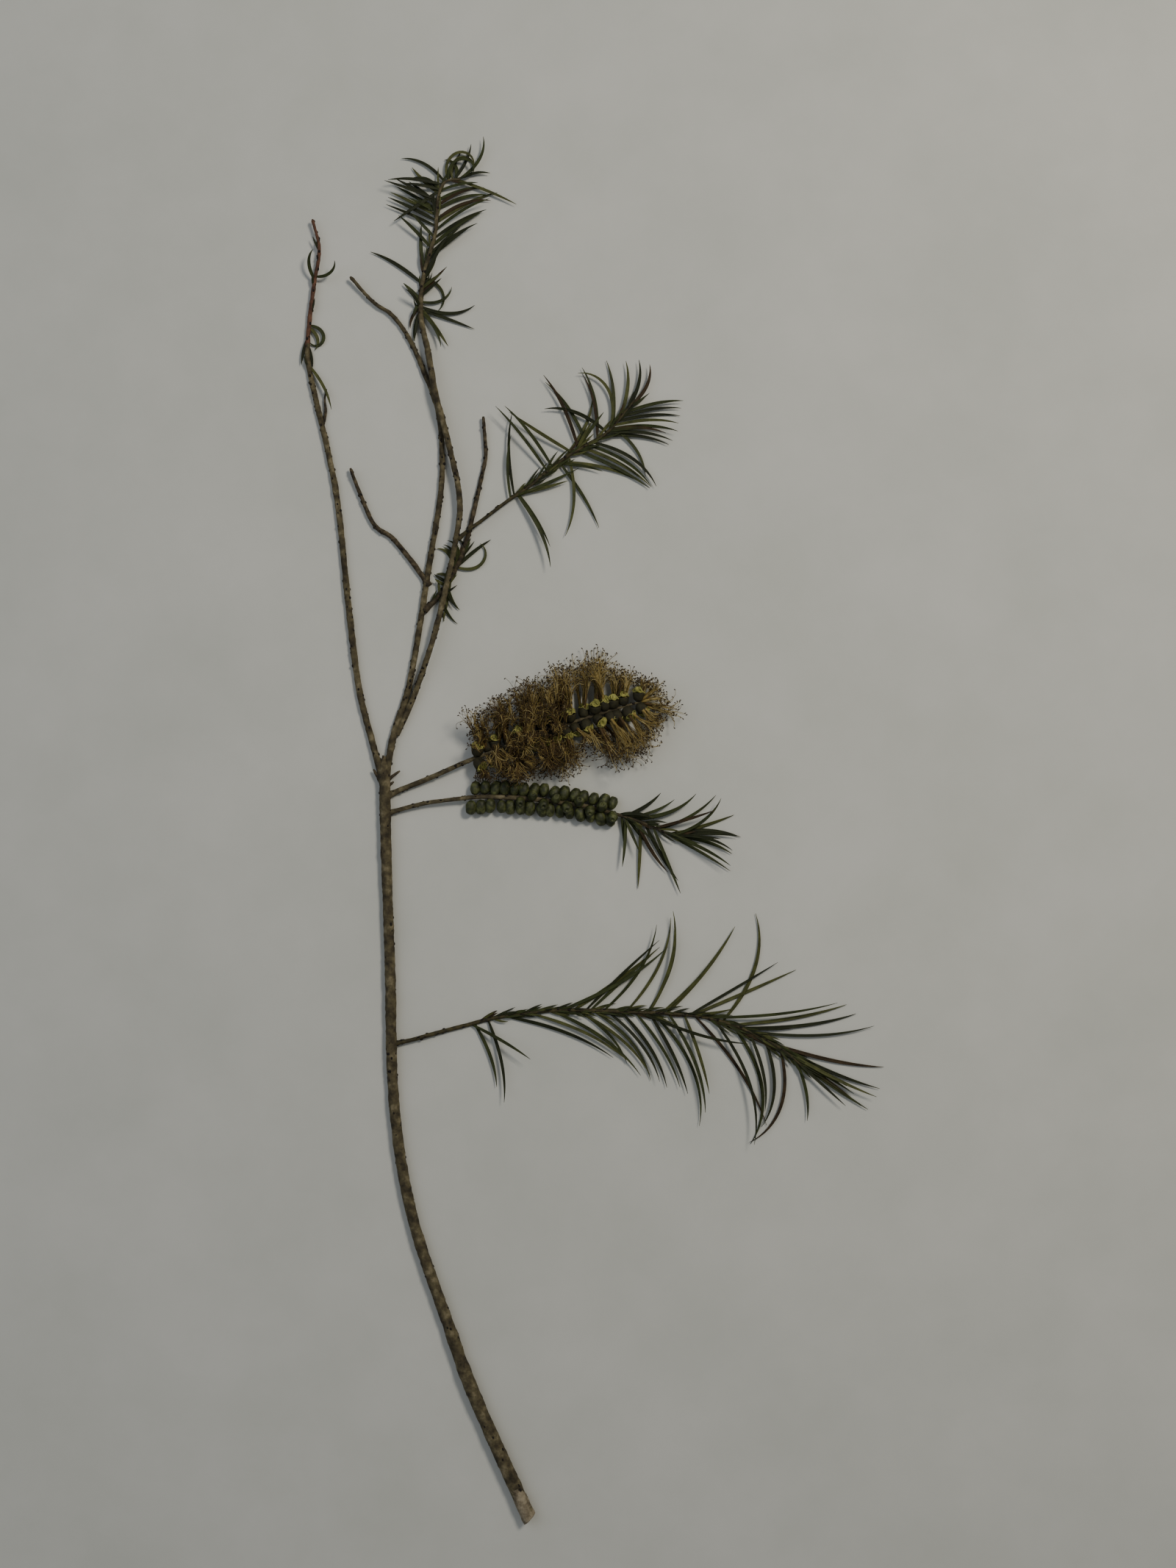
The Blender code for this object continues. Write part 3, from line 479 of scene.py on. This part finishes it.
def limbLine(limb, step, start=0, end=None):
    # Places and radii at even steps along a limb.
    rough = smoothLine(limb["route"])
    lengths = lengthsOf(rough)
    fine = [p + Vector((0, 0, spaced(limb["radii"], length / lengths[-1])))
            for p, length in zip(rough, lengths)]
    lengths = lengthsOf(fine)
    total = lengths[-1]
    end = min(end or total, total)
    count = max(2, round((end - start) / step))
    picked = []
    for i in range(count + 1):
        length = start + (end - start) * i / count
        picked.append((atLength(fine, lengths, length), spaced(limb["radii"], length / total)))
    return picked


def distanceToLine(point, line):
    nearest = 1e9
    for a, b in zip(line, line[1:]):
        along = b - a
        share = min(max((point - a).dot(along) / along.length_squared, 0), 1)
        nearest = min(nearest, (point - a - along * share).length)
    return nearest


def outlineCurve(corners):
    data = bpy.data.curves.new("outline", "CURVE")
    spline = data.splines.new("POLY")
    spline.points.add(len(corners) - 1)
    for point, (across, up) in zip(spline.points, corners):
        point.co = (across * mm, up * mm, 0, 1)
    spline.use_cyclic_u = True
    made = bpy.data.objects.new("outline", data)
    bpy.context.scene.collection.objects.link(made)
    return made


def swept(name, strands, finishNames, outline=None, sides=0):
    # One closed mesh from many swept strands: points, radii in mm, finish number, tilts.
    data = bpy.data.curves.new(name, "CURVE")
    data.dimensions = "3D"
    data.twist_mode = "Z_UP"
    data.use_fill_caps = True
    section = outlineCurve(outline) if outline else None
    if section:
        data.bevel_mode = "OBJECT"
        data.bevel_object = section
    else:
        data.bevel_depth = mm
        data.bevel_resolution = sides
    for finish in finishNames:
        data.materials.append(materials[finish])
    for points, radii, slot, tilts in strands:
        spline = data.splines.new("POLY")
        spline.points.add(len(points) - 1)
        spline.material_index = slot
        spline.use_smooth = True
        for i, (point, place, radius) in enumerate(zip(spline.points, points, radii)):
            point.co = (*(place * mm), 1)
            point.radius = radius
            point.tilt = tilts[i] if tilts else 0
    curve = bpy.data.objects.new(name + "_curve", data)
    bpy.context.scene.collection.objects.link(curve)
    graph = bpy.context.evaluated_depsgraph_get()
    mesh = bpy.data.meshes.new_from_object(curve.evaluated_get(graph))
    form = bmesh.new()
    form.from_mesh(mesh)
    bmesh.ops.remove_doubles(form, verts=form.verts, dist=1e-6)
    bmesh.ops.recalc_face_normals(form, faces=form.faces)
    form.to_mesh(mesh)
    form.free()
    bpy.data.objects.remove(curve)
    if section:
        bpy.data.objects.remove(section)
    mesh.name = name
    piece = bpy.data.objects.new(name, mesh)
    bpy.context.scene.collection.objects.link(piece)
    return piece


def fromForm(name, form, finishNames):
    mesh = bpy.data.meshes.new(name)
    bmesh.ops.recalc_face_normals(form, faces=form.faces)
    form.to_mesh(mesh)
    form.free()
    for finish in finishNames:
        mesh.materials.append(materials[finish])
    for face in mesh.polygons:
        face.use_smooth = True
    piece = bpy.data.objects.new(name, mesh)
    bpy.context.scene.collection.objects.link(piece)
    return piece


def roughen(piece, sizeMm, heightMm):
    # Moves the surface in and out by a noise of a real size.
    mesh = piece.data
    normals = [v.normal.copy() for v in mesh.vertices]
    for vertex, normal in zip(mesh.vertices, normals):
        place = vertex.co / (sizeMm * mm)
        lift = noise.fractal(place, 0.8, 2.1, 3)
        vertex.co += normal * lift * heightMm * mm


def fitted(piece, node=None):
    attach(piece, "root")
    if node:
        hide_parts(node)
    print("made", piece.name, sum(len(f.vertices) - 2 for f in piece.data.polygons), "triangles")


# Bark, as tapering limbs with knotty relief and small leaf scars

def barkLimb(name, limb, finish, slot, node=None, relief=1, collar=0):
    # Makes one limb's bark and gives back the places of its leaf scars.
    rng = random.Random(name)
    line = limbLine(limb, bark["step"])
    radii = []
    for i, (_, radius) in enumerate(line):
        along = i * bark["step"]
        swell = noise.noise(Vector((along / bark["swellEvery"], len(name), 0.5))) * bark["swell"]
        foot = collar * math.exp(-(along / bark["collarReach"]) ** 2)
        radii.append(radius * (1 + swell * relief + foot))
    radii[-1] *= bark["tipNarrows"]
    places = [p for p, _ in line]
    piece = swept(name, [(places, radii, 0, None)], [finish], sides=bark["sides"])
    if name == "main_stem_bark":
        cutFoot(piece, line)
    roughen(piece, bark["grainMm"], bark["relief"] * relief * min(1, line[0][1]))
    if name in barkChanges:
        other, height, wander, size, side = barkChanges[name]
        piece.data.materials.append(materials[other])
        for face in piece.data.polygons:
            edge = (height + wander * noise.noise(face.center / (size * mm))) * mm
            if (face.center.y - edge) * side > 0:
                face.material_index = 1
    fitted(piece, node)
    spots = []
    every = bark["scarEvery"] * max(1, limb["radii"][0])
    for _ in range(int(lengthsOf(places)[-1] / every)):
        i = rng.randrange(1, len(line) - 1)
        place, radius = line[i]
        turn = math.radians(rng.uniform(0, 360))
        along = (places[i + 1] - place).normalized()
        out = up.cross(along).normalized() * math.cos(turn) + up * math.sin(turn)
        if place.z + out.z * radius > bark["scarAbove"]:
            size = rng.uniform(*bark["scarSize"])
            spots.append((place + out * radius * bark["scarSink"], along, size))
    return spots


def cutFoot(piece, line):
    along = (line[3][0] - line[0][0]).normalized()
    across = up.cross(along)
    slant = math.radians(footSlant)
    normal = along * math.cos(slant) + across * math.sin(slant)
    form = bmesh.new()
    form.from_mesh(piece.data)
    bmesh.ops.bisect_plane(form, geom=[*form.verts, *form.edges, *form.faces],
                           plane_co=(line[0][0] + along * line[0][1] / 2) * mm,
                           plane_no=normal, clear_inner=True)
    bmesh.ops.holes_fill(form, edges=[e for e in form.edges if e.is_boundary])
    bmesh.ops.recalc_face_normals(form, faces=form.faces)
    form.to_mesh(piece.data)
    form.free()


forkCollar = {  # the swelling where the main stem parts into its limbs
    "route": ((-52.2, 10.5, 0), (-52.4, 14, 0), (-52.5, 16.6, 0), (-52.6, 18.6, 0.4)),
    "radii": (1.3, 1.42, 1.5, 1.15, 0.45),
}
leftLimb["route"] = ((-52.9, 12, 0.5), *leftLimb["route"])
middleLimb["route"] = ((-52, 12, 0.5), *middleLimb["route"])
barkPieces = (  # with the node that each replaces, its relief and the collar at its foot
    ("main_stem_bark", mainStem, "greyBark", "bark", "main_stem"),
    ("left_limb_bark", leftLimb, "greyBark", "bark", "left_limb"),
    ("middle_limb_bark", middleLimb, "greyBark", "bark", "middle_limb"),
    ("right_limb_bark", rightLimb, "greyBark", "bark", "right_limb"),
    ("left_side_twig_bark", leftTwig, "twigBark", "twig", "left_side_twig", 1, 0.3),
    ("upright_twig_bark", uprightTwig, "twigBark", "twig", "upright_twig", 1, 0.3),
    ("middle_shoot_bark", middleShoot, "youngBark", "twig", "middle_shoot_stem", 0.6, 0.55),
    ("flower_axis_bark", flowerAxis, "greyBark", "twig", "flower_stalk", 0.6, 0.55),
    ("fruit_axis_bark", fruitAxis, "greyBark", "twig", "fruit_stalk", 0.6, 0.55),
    ("lower_shoot_bark", lowerShoot, "youngBark", "twig", "lower_shoot_stem", 0.6, 0.55),
    ("fork_collar_bark", forkCollar, "greyBark", "bark", None, 1.3),
)
budRadii = (0.42, 0.3)
smallPieces = (  # stubs and buds, without scars
    ("left_spur_bark", leftSpur, "left_spur"),
    ("fork_stub_bark", forkStub, "fork_stub"),
    ("fork_bud_bark", forkBud, "fork_bud"),
    ("fork_top_bud_bark",
     {"route": ((-52.6, 16.2, 0.8), (-52.8, 18.9, 1)), "radii": budRadii}, None),
    ("fork_right_bud_bark",
     {"route": ((-51.5, 11.1, 0.8), (-50.1, 12.3, 0.9)), "radii": budRadii}, None),
    ("fork_left_bud_bark",
     {"route": ((-53.5, 12.2, 0.6), (-54.3, 13.3, 0.8)), "radii": budRadii}, None),
)
spots = []
for row in barkPieces:
    spots += barkLimb(*row)
for name, limb, node in smallPieces:
    barkLimb(name, limb, "twigBark", "twig", node)
form = bmesh.new()
for place, along, size in spots:
    turn = along.to_track_quat("X", "Z").to_matrix().to_4x4()
    shape = Matrix.Diagonal((*(size * part for part in bark["scarShape"]), 1))
    bmesh.ops.create_icosphere(form, subdivisions=1, radius=mm,
                               matrix=Matrix.Translation(place * mm) @ turn @ shape)
fitted(fromForm("leaf_scars", form, ["scarBark"]))
print("bark done")


# Leaves, by the same fans as the solids, finer and with a twist

def leafLine(root, aim, length, bend, tipHeight):
    steps = leafLook["points"]
    line = [root]
    for i in range(steps):
        share = (i + 1) / steps
        turned = heading(aim + bend * (((i + 0.5) / steps) ** lateBend - 1 / (lateBend + 1)))
        place = line[-1] + turned * (length / steps)
        place.z = root.z + (tipHeight - root.z) * math.sin(share * math.pi / 2)
        line.append(place)
    return line


def leafMass(number, name, node, stem, fans, rise, companions, scales, brown):
    rng = random.Random(seed + number)
    look = random.Random(seed * 100 + number)
    line = [p for p, _ in stem]
    lengths = lengthsOf(line)
    strands = []

    def addLeaf(points, width):
        twist = look.uniform(-1, 1) * math.radians(leafLook["twist"])
        turn = look.uniform(-1, 1) * math.radians(leafLook["twist"])
        count = len(points) - 1
        tilts = [twist + turn * i / count for i in range(count + 1)]
        radii = [width * spaced(leafTaper, i / count) for i in range(count + 1)]
        slot = look.choices((0, 1, 2, 3), (5, 6, 3, brown))[0]
        strands.append((points, radii, slot, tilts))

    for count, shares, aims, sizes, bends in fans:
        for k in range(count):
            share = k / max(count - 1, 1)
            rootLength = between(shares, share) * lengths[-1]
            root = atLength(line, lengths, rootLength)
            root.z = max(root.z, leafRest)
            aim = between(aims, share) + rng.uniform(-aimSpread, aimSpread)
            length = between(sizes, share) * (1 + rng.uniform(-lengthSpread, lengthSpread))
            bend = between(bends, share)
            tipHeight = leafRest + rise * rng.random() ** 2
            width = leafWidth * look.uniform(*leafLook["width"])
            addLeaf(leafLine(root, aim, length, bend, tipHeight), width)
            if look.random() < companions and shares[0] < companion["upTo"]:
                root = atLength(line, lengths, look.uniform(*companion["shift"]) + rootLength)
                root.z = max(root.z, leafRest)
                length *= look.uniform(*companion["length"])
                aim += look.uniform(*companion["turn"])
                bend *= look.uniform(*companion["bend"])
                tipHeight = root.z + look.uniform(*companion["rise"])
                width = leafWidth * look.uniform(*leafLook["width"]) * companion["width"]
                addLeaf(leafLine(root, aim, length, bend, tipHeight), width)
    for _ in range(int(lengths[-1] * scales)):
        share = look.uniform(*stemLeaf["share"])
        root = atLength(line, lengths, share * lengths[-1])
        ahead = atLength(line, lengths, min(share + stemLeaf["ahead"], 1) * lengths[-1]) - root
        if ahead.length < 0.01:
            continue
        side = look.choice((-1, 1))
        aim = math.degrees(math.atan2(ahead.y, ahead.x)) + side * look.uniform(*stemLeaf["turn"])
        length = look.uniform(*stemLeaf["length"])
        bend = -side * look.uniform(*stemLeaf["bend"])
        tipHeight = root.z + look.uniform(*stemLeaf["rise"])
        addLeaf(leafLine(root, aim, length, bend, tipHeight), stemLeaf["width"])
    piece = swept(name, strands, ["leafDark", "leafGreen", "leafOlive", "leafBrown"], leafOutline)
    fitted(piece, node)


def massStem(limb):
    return limbLine(limb, leafLook["stemStep"], limb["cuts"][-1])


bundleFans = (  # the unopened leaves at the lower shoot's end, thick and brown
    (8, (0.72, 0.86), (-25, -32), (17, 21), (-4, 5)),
    (7, (0.84, 0.95), (-26, -34), (14, 22), (4, -5)),
)
hookFans = (  # the hooked leaves above the top shoot
    (2, (0.92, 0.95), (14, 4), (15.5, 13.5), (-235, -250)),
    (1, (0.9, 0.9), (150, 150), (13, 13), (55, 55)),
)
droopFans = ((2, (0, 1), (-84, -62), (11, 10), (8, 45)),)
curlFans = ((3, (0, 1), (100, 88), (9, 11), (120, 150)),)
knotFrom = 0.8
knotStem = limbLine(uprightTwig, leafLook["stemStep"], knotFrom, uprightTwig["cuts"][0])
droopStem = [(Vector((-38.9, 63, 1)), 0.5), (Vector((-38.6, 61, 1)), 0.5)]
curlStem = [(Vector((-36.6, 64.6, 1)), 0.5), (Vector((-36, 65.8, 1)), 0.5)]
leafMasses = (
    # Piece, replaced node, stem, fans, rise, share of leaves with a companion, stem
    # leaves for each mm, and weight of the brown finish.
    ("left_tip_leaves", "left_tip_foliage", massStem(leftLimb), leftTipFans, leafRise, 0, 0.12, 1),
    ("top_leaves", "top_foliage", massStem(rightLimb), topFans, leafRise, 0.35, 0.5, 1),
    ("knot_leaves", "knot_foliage", knotStem, knotFans, knotRise, 0.6, 0.6, 1),
    ("middle_leaves", "middle_foliage", massStem(middleShoot), middleFans, leafRise, 0.25, 1.3, 1),
    ("fruit_shoot_leaves", "fruit_shoot_foliage", massStem(fruitAxis), fruitShootFans, leafRise,
     0.15, 1, 1),
    ("lower_leaves", "lower_foliage", massStem(lowerShoot), lowerFans, leafRise, 0.22, 1.4, 1),
    ("lower_tip_leaves", None, massStem(lowerShoot), bundleFans, 1.2, 0, 0, 7),
    ("top_hooked_leaves", None, massStem(rightLimb), hookFans, 2, 0, 0, 1),
    ("knot_drooping_leaves", None, droopStem, droopFans, 1.5, 0, 0, 4),
    ("knot_hooked_leaves", None, curlStem, curlFans, 1.5, 0, 0, 4),
)
for number, row in enumerate(leafMasses):
    leafMass(number, *row)
print("leaves done")


# The flower spike: cups with petals, flat claws, loose filaments and dark anthers

def latheForm(profile, steps):
    form = bmesh.new()
    verts = [form.verts.new((r, 0, z)) for r, z in profile]
    edges = [form.edges.new(pair) for pair in zip(verts, verts[1:])]
    bmesh.ops.spin(form, geom=[*verts, *edges], cent=(0, 0, 0), axis=(0, 0, 1),
                   angle=2 * math.pi, steps=steps, use_merge=True)
    bmesh.ops.remove_doubles(form, verts=form.verts, dist=1e-4)
    bmesh.ops.recalc_face_normals(form, faces=form.faces)
    mesh = bpy.data.meshes.new("lathe")
    form.to_mesh(mesh)
    form.free()
    return mesh


def stamp(form, mesh, centre, direction, size, roll=0.0, flat=1.0):
    # Adds a copy of a mesh in millimetres to a form, turned to a direction.
    copy = mesh.copy()
    turn = direction.to_track_quat("Z", "Y").to_matrix().to_4x4()
    copy.transform(Matrix.Translation(centre * mm) @ turn @ Matrix.Rotation(roll, 4, "Z")
                   @ Matrix.Diagonal((size * mm, size * mm * flat, size * mm, 1)))
    form.from_mesh(copy)
    bpy.data.meshes.remove(copy)


cupProfile = (
    (0, 0), (0.8, 0.05), (1.3, 0.6), (1.5, 1.3), (1.55, 1.9), (1.6, 2.3), (1.5, 2.4),
    (1.2, 2.1), (0.6, 1.8), (0, 1.7),
)
petalProfile = (
    (0, -0.12), (0.3, -0.1), (0.52, 0.02), (0.62, 0.2), (0.5, 0.12), (0.25, 0), (0, -0.03),
)
flowerStep, fruitStep = 1, 1.5
flowerPlaces = [p for p, _ in limbLine(flowerAxis, flowerStep, flowerAxis["cuts"][0])]
flowerLengths = lengthsOf(flowerPlaces)
fruitPlaces = [p for p, _ in limbLine(fruitAxis, fruitStep, *fruitAxis["cuts"])]
fruitLengths = lengthsOf(fruitPlaces)
fruitFlat = [Vector((p.x, p.y, 0)) for p in fruitPlaces]
cups = bmesh.new()
petals = bmesh.new()
cupMesh = latheForm(cupProfile, cup["sides"])
petalMesh = latheForm(petalProfile, petal["sides"])
claws, threads, anthers = [], [], []


def stamenPath(start, aim, reach, shares, fan, height, curl, count):
    # A path over part of the reach, which turns most near its end.
    step = reach * (shares[1] - shares[0]) / count
    points = []
    for i in range(count + 1):
        part = i / count
        if points:
            turned = aim + fan * between(brush["fanGrowth"], part) + curl * part ** 3
            place = points[-1] + heading(turned) * step
        else:
            place = start + heading(aim) * reach * shares[0]
        climb = math.sin(between(shares, part) * math.pi / 2)
        place.z = max(start.z + (height - start.z) * climb, brush["lowest"])
        points.append(place)
    return points


def addBundle(rng, place, aim, reach, tilt, brown, clawed=True):
    clear = fruitHalfWidth - brush["clearOfFruit"]
    while reach > brush["shortest"] and distanceToLine(
            Vector((*(place + heading(aim) * reach).xy, 0)), fruitFlat) < clear:
        reach -= brush["shorten"]
    low, high = brush["heights"]
    height = min(max(place.z + reach * math.sin(tilt) * brush["lift"], low), high)
    if clawed:
        path = stamenPath(place, aim, reach, claw["shares"], 0, height, 0, claw["steps"])
        slot = 1 if brown or rng.random() < claw["alsoBrown"] else 0
        claws.append((path, [claw["width"] * part for part in claw["taper"]], slot, None))
    for _ in range(brush["filaments"]):
        shares = rng.uniform(*filament["from"]), rng.uniform(*filament["to"])
        start = place + heading(aim + 90) * rng.uniform(*filament["side"]) * claw["width"]
        fan = rng.uniform(-1, 1) * filament["fan"]
        endHeight = height + rng.uniform(*filament["height"])
        curl = rng.uniform(-1, 1) * filament["curl"]
        path = stamenPath(start, aim, reach, shares, fan, endHeight, curl, filament["steps"])
        thickness = filament["thickness"] * rng.uniform(*filament["vary"])
        slot = rng.choices((0, 1, 2), filament["brown" if brown else "golden"])[0]
        threads.append((path, [thickness * part for part in filament["taper"]], slot, None))
        last = path[-1] - path[-2]
        hook = rng.choice((-1, 1)) * rng.uniform(*anther["hook"])
        turned = math.degrees(math.atan2(last.y, last.x)) + hook
        tip = path[-1]
        end = tip + heading(turned) * anther["length"]
        radii = [anther["radius"] * part for part in anther["taper"]]
        anthers.append(([tip, tip.lerp(end, 0.5), end], radii, 0, None))


rng = random.Random(seed + 20)
run = flowerPlaces[-1] - flowerPlaces[0]
axisHeading = math.degrees(math.atan2(run.y, run.x))
for side, reaches, lean in brushSides:
    square = axisHeading + side * (90 + lean)
    for i in range(brush["flowers"]):
        share = (i + rng.uniform(*brush["jitter"])) / brush["flowers"]
        place = atLength(flowerPlaces, flowerLengths, share * flowerLengths[-1])
        rise = rng.uniform(*cup["rise"])
        flowerReach = rng.uniform(*brush["flowerReach"])
        flowerTurn = rng.uniform(*brush["flowerTurn"])
        out = (heading(square + rng.uniform(*cup["turn"])) + up * rise).normalized()
        stamp(cups, cupMesh, place + out * cup["sink"], out, rng.uniform(*cup["size"]))
        mouth = place + out * cup["mouth"]
        for k in range(petal["number"]):
            around = heading(petal["apart"] * k + rng.uniform(*petal["turn"]))
            flare = out * petal["flare"] + out.cross(up) * around.x + up * around.y
            flare.normalize()
            stamp(petals, petalMesh, mouth + flare * petal["out"], flare,
                  rng.uniform(*petal["size"]), rng.uniform(*petal["roll"]), petal["flat"])
        for _ in range(brush["bundles"]):
            aim = square + flowerTurn + rng.uniform(*brush["spread"])
            tilt = math.radians(rng.uniform(*brush["tilt"]))
            reach = spaced(reaches, share) * flowerReach * rng.uniform(*brush["reach"])
            brown = rng.random() < brush["brown"][side] * (brush["brownFoot"] - share)
            addBundle(rng, place, aim, reach, tilt, brown)
for _ in range(cover["bundles"]):
    share = rng.uniform(*cover["share"])
    place = atLength(flowerPlaces, flowerLengths, share * flowerLengths[-1])
    place += heading(axisHeading + 90) * rng.uniform(*cover["side"])
    place.z += rng.uniform(*cover["up"])
    aim = axisHeading + rng.choice((-1, 1)) * rng.uniform(*cover["aim"])
    reach = rng.uniform(*cover["reach"])
    tilt = math.radians(rng.uniform(*cover["tilt"]))
    addBundle(rng, place, aim, reach, tilt, rng.random() < cover["brown"], clawed=False)
for aim, reach in tipBundles:
    for _ in range(tipBundle["each"]):
        turned = aim + rng.uniform(*tipBundle["turn"])
        reached = reach * rng.uniform(*tipBundle["reach"])
        tilt = math.radians(rng.uniform(*tipBundle["tilt"]))
        brown = rng.random() < tipBundle["brown"]
        addBundle(rng, flowerPlaces[-2], turned, reached, tilt, brown)
threadFinishes = ["stamenGold", "stamenBrown", "stamenPale"]
fitted(swept("stamens", threads[::2], threadFinishes), "flower_spike")
fitted(swept("more_stamens", threads[1::2], threadFinishes))
fitted(swept("anthers", anthers, ["anther"]))
fitted(swept("stamen_claws", claws, ["stamenGold", "stamenBrown"], clawOutline))
# The cups' near-black finish is their own dark brown plus painted shade.
fitted(fromForm("flower_cups", cups, ["flowerCupAndShade"]))
fitted(fromForm("petals", petals, ["petal"]))
print("flower spike done")


# The fruit spike: woody capsules with a rim round a sunken mouth

capsuleProfile = (
    (0, -0.5), (0.2, -0.47), (0.38, -0.36), (0.48, -0.18), (0.51, 0), (0.48, 0.17), (0.4, 0.31),
    (0.3, 0.4), (0.21, 0.43), (0.15, 0.41), (0.12, 0.34), (0, 0.3),
)
capsuleSides = 14
capsuleMesh = latheForm([(r * capsuleWidth, z * capsuleLength) for r, z in capsuleProfile],
                        capsuleSides)
rng = random.Random(seed + 40)
capsules = bmesh.new()
for side in (1, -1):
    for i in range(capsulesPerSide):
        share = (i + sideCapsule["first"] + sideCapsule["stagger"] * side) / (
            capsulesPerSide + sideCapsule["spare"])
        place = atLength(fruitPlaces, fruitLengths, share * fruitLengths[-1])
        aim = fruitAim + side * (90 - capsuleLean * share) + rng.uniform(*sideCapsule["turn"])
        out = heading(aim)
        centre = place + out * (capsuleOut + rng.uniform(*sideCapsule["out"]))
        centre.z = capsuleWidth / 2 + rng.uniform(*sideCapsule["lift"])
        facing = (out - up * sideCapsule["droop"]).normalized()
        stamp(capsules, capsuleMesh, centre, facing, rng.uniform(*sideCapsule["size"]),
              i * sideCapsule["roll"])
for i in range(capsulesOnTop):
    share = topFrom + (topCapsule["to"] - topFrom) * i / (capsulesOnTop - 1)
    place = atLength(fruitPlaces, fruitLengths, share * fruitLengths[-1])
    out = heading(fruitAim + (1 if i % 2 else -1) * topCapsule["turn"])
    centre = place + out * topCapsule["out"] + up * topCapsule["lift"]
    facing = (out * topCapsule["lean"] + up).normalized()
    stamp(capsules, capsuleMesh, centre, facing, rng.uniform(*topCapsule["size"]),
          i * topCapsule["roll"])
fruit = fromForm("seed_capsules", capsules, ["capsule"])
capsuleGrainMm, capsuleRelief = 0.7, 0.09
roughen(fruit, capsuleGrainMm, capsuleRelief)
fitted(fruit, "fruit_spike")
print("fruit spike done")


# The bare sheet, soft light and a camera straight above

sheet = {"halfWidth": 1.5, "height": -0.05}
form = bmesh.new()
bmesh.ops.create_grid(form, x_segments=1, y_segments=1, size=sheet["halfWidth"],
                      matrix=Matrix.Translation((0, 0, sheet["height"] * mm)))
floor = fromForm("sheet", form, ["paper"])


def softLight(name, place, size, power, colour):
    # A square lamp, placed in metres, that faces the branch.
    data = bpy.data.lights.new(name, "AREA")
    data.size = size
    data.energy = power
    data.color = toLinear(colour)[:3]
    lamp = bpy.data.objects.new(name, data)
    lamp.location = place
    lamp.rotation_euler = (-Vector(place)).to_track_quat("-Z", "Y").to_euler()
    bpy.context.scene.collection.objects.link(lamp)


softLight("warm_window", (0.33, 0.33, 0.6), 0.15, 3.2, "#fff6e8")
softLight("cool_fill", (-0.6, 0.25, 0.72), 0.9, 2.3, "#e2eafb")
room = {"colour": "#dcdedf", "strength": 0.26}
world = bpy.data.worlds.new("room")
world.use_nodes = True
background = world.node_tree.nodes["Background"]
background.inputs["Color"].default_value = toLinear(room["colour"])
background.inputs["Strength"].default_value = room["strength"]
bpy.context.scene.world = world

view = {"centre": (-1.3, 11.7), "heightMm": 500, "lens": 45.6}
cameraData = bpy.data.cameras.new("overhead")
cameraData.lens = view["lens"]
cameraData.clip_start = 0.01
camera = bpy.data.objects.new("overhead", cameraData)
camera.location = Vector((*view["centre"], view["heightMm"])) * mm
bpy.context.scene.collection.objects.link(camera)
bpy.context.scene.camera = camera
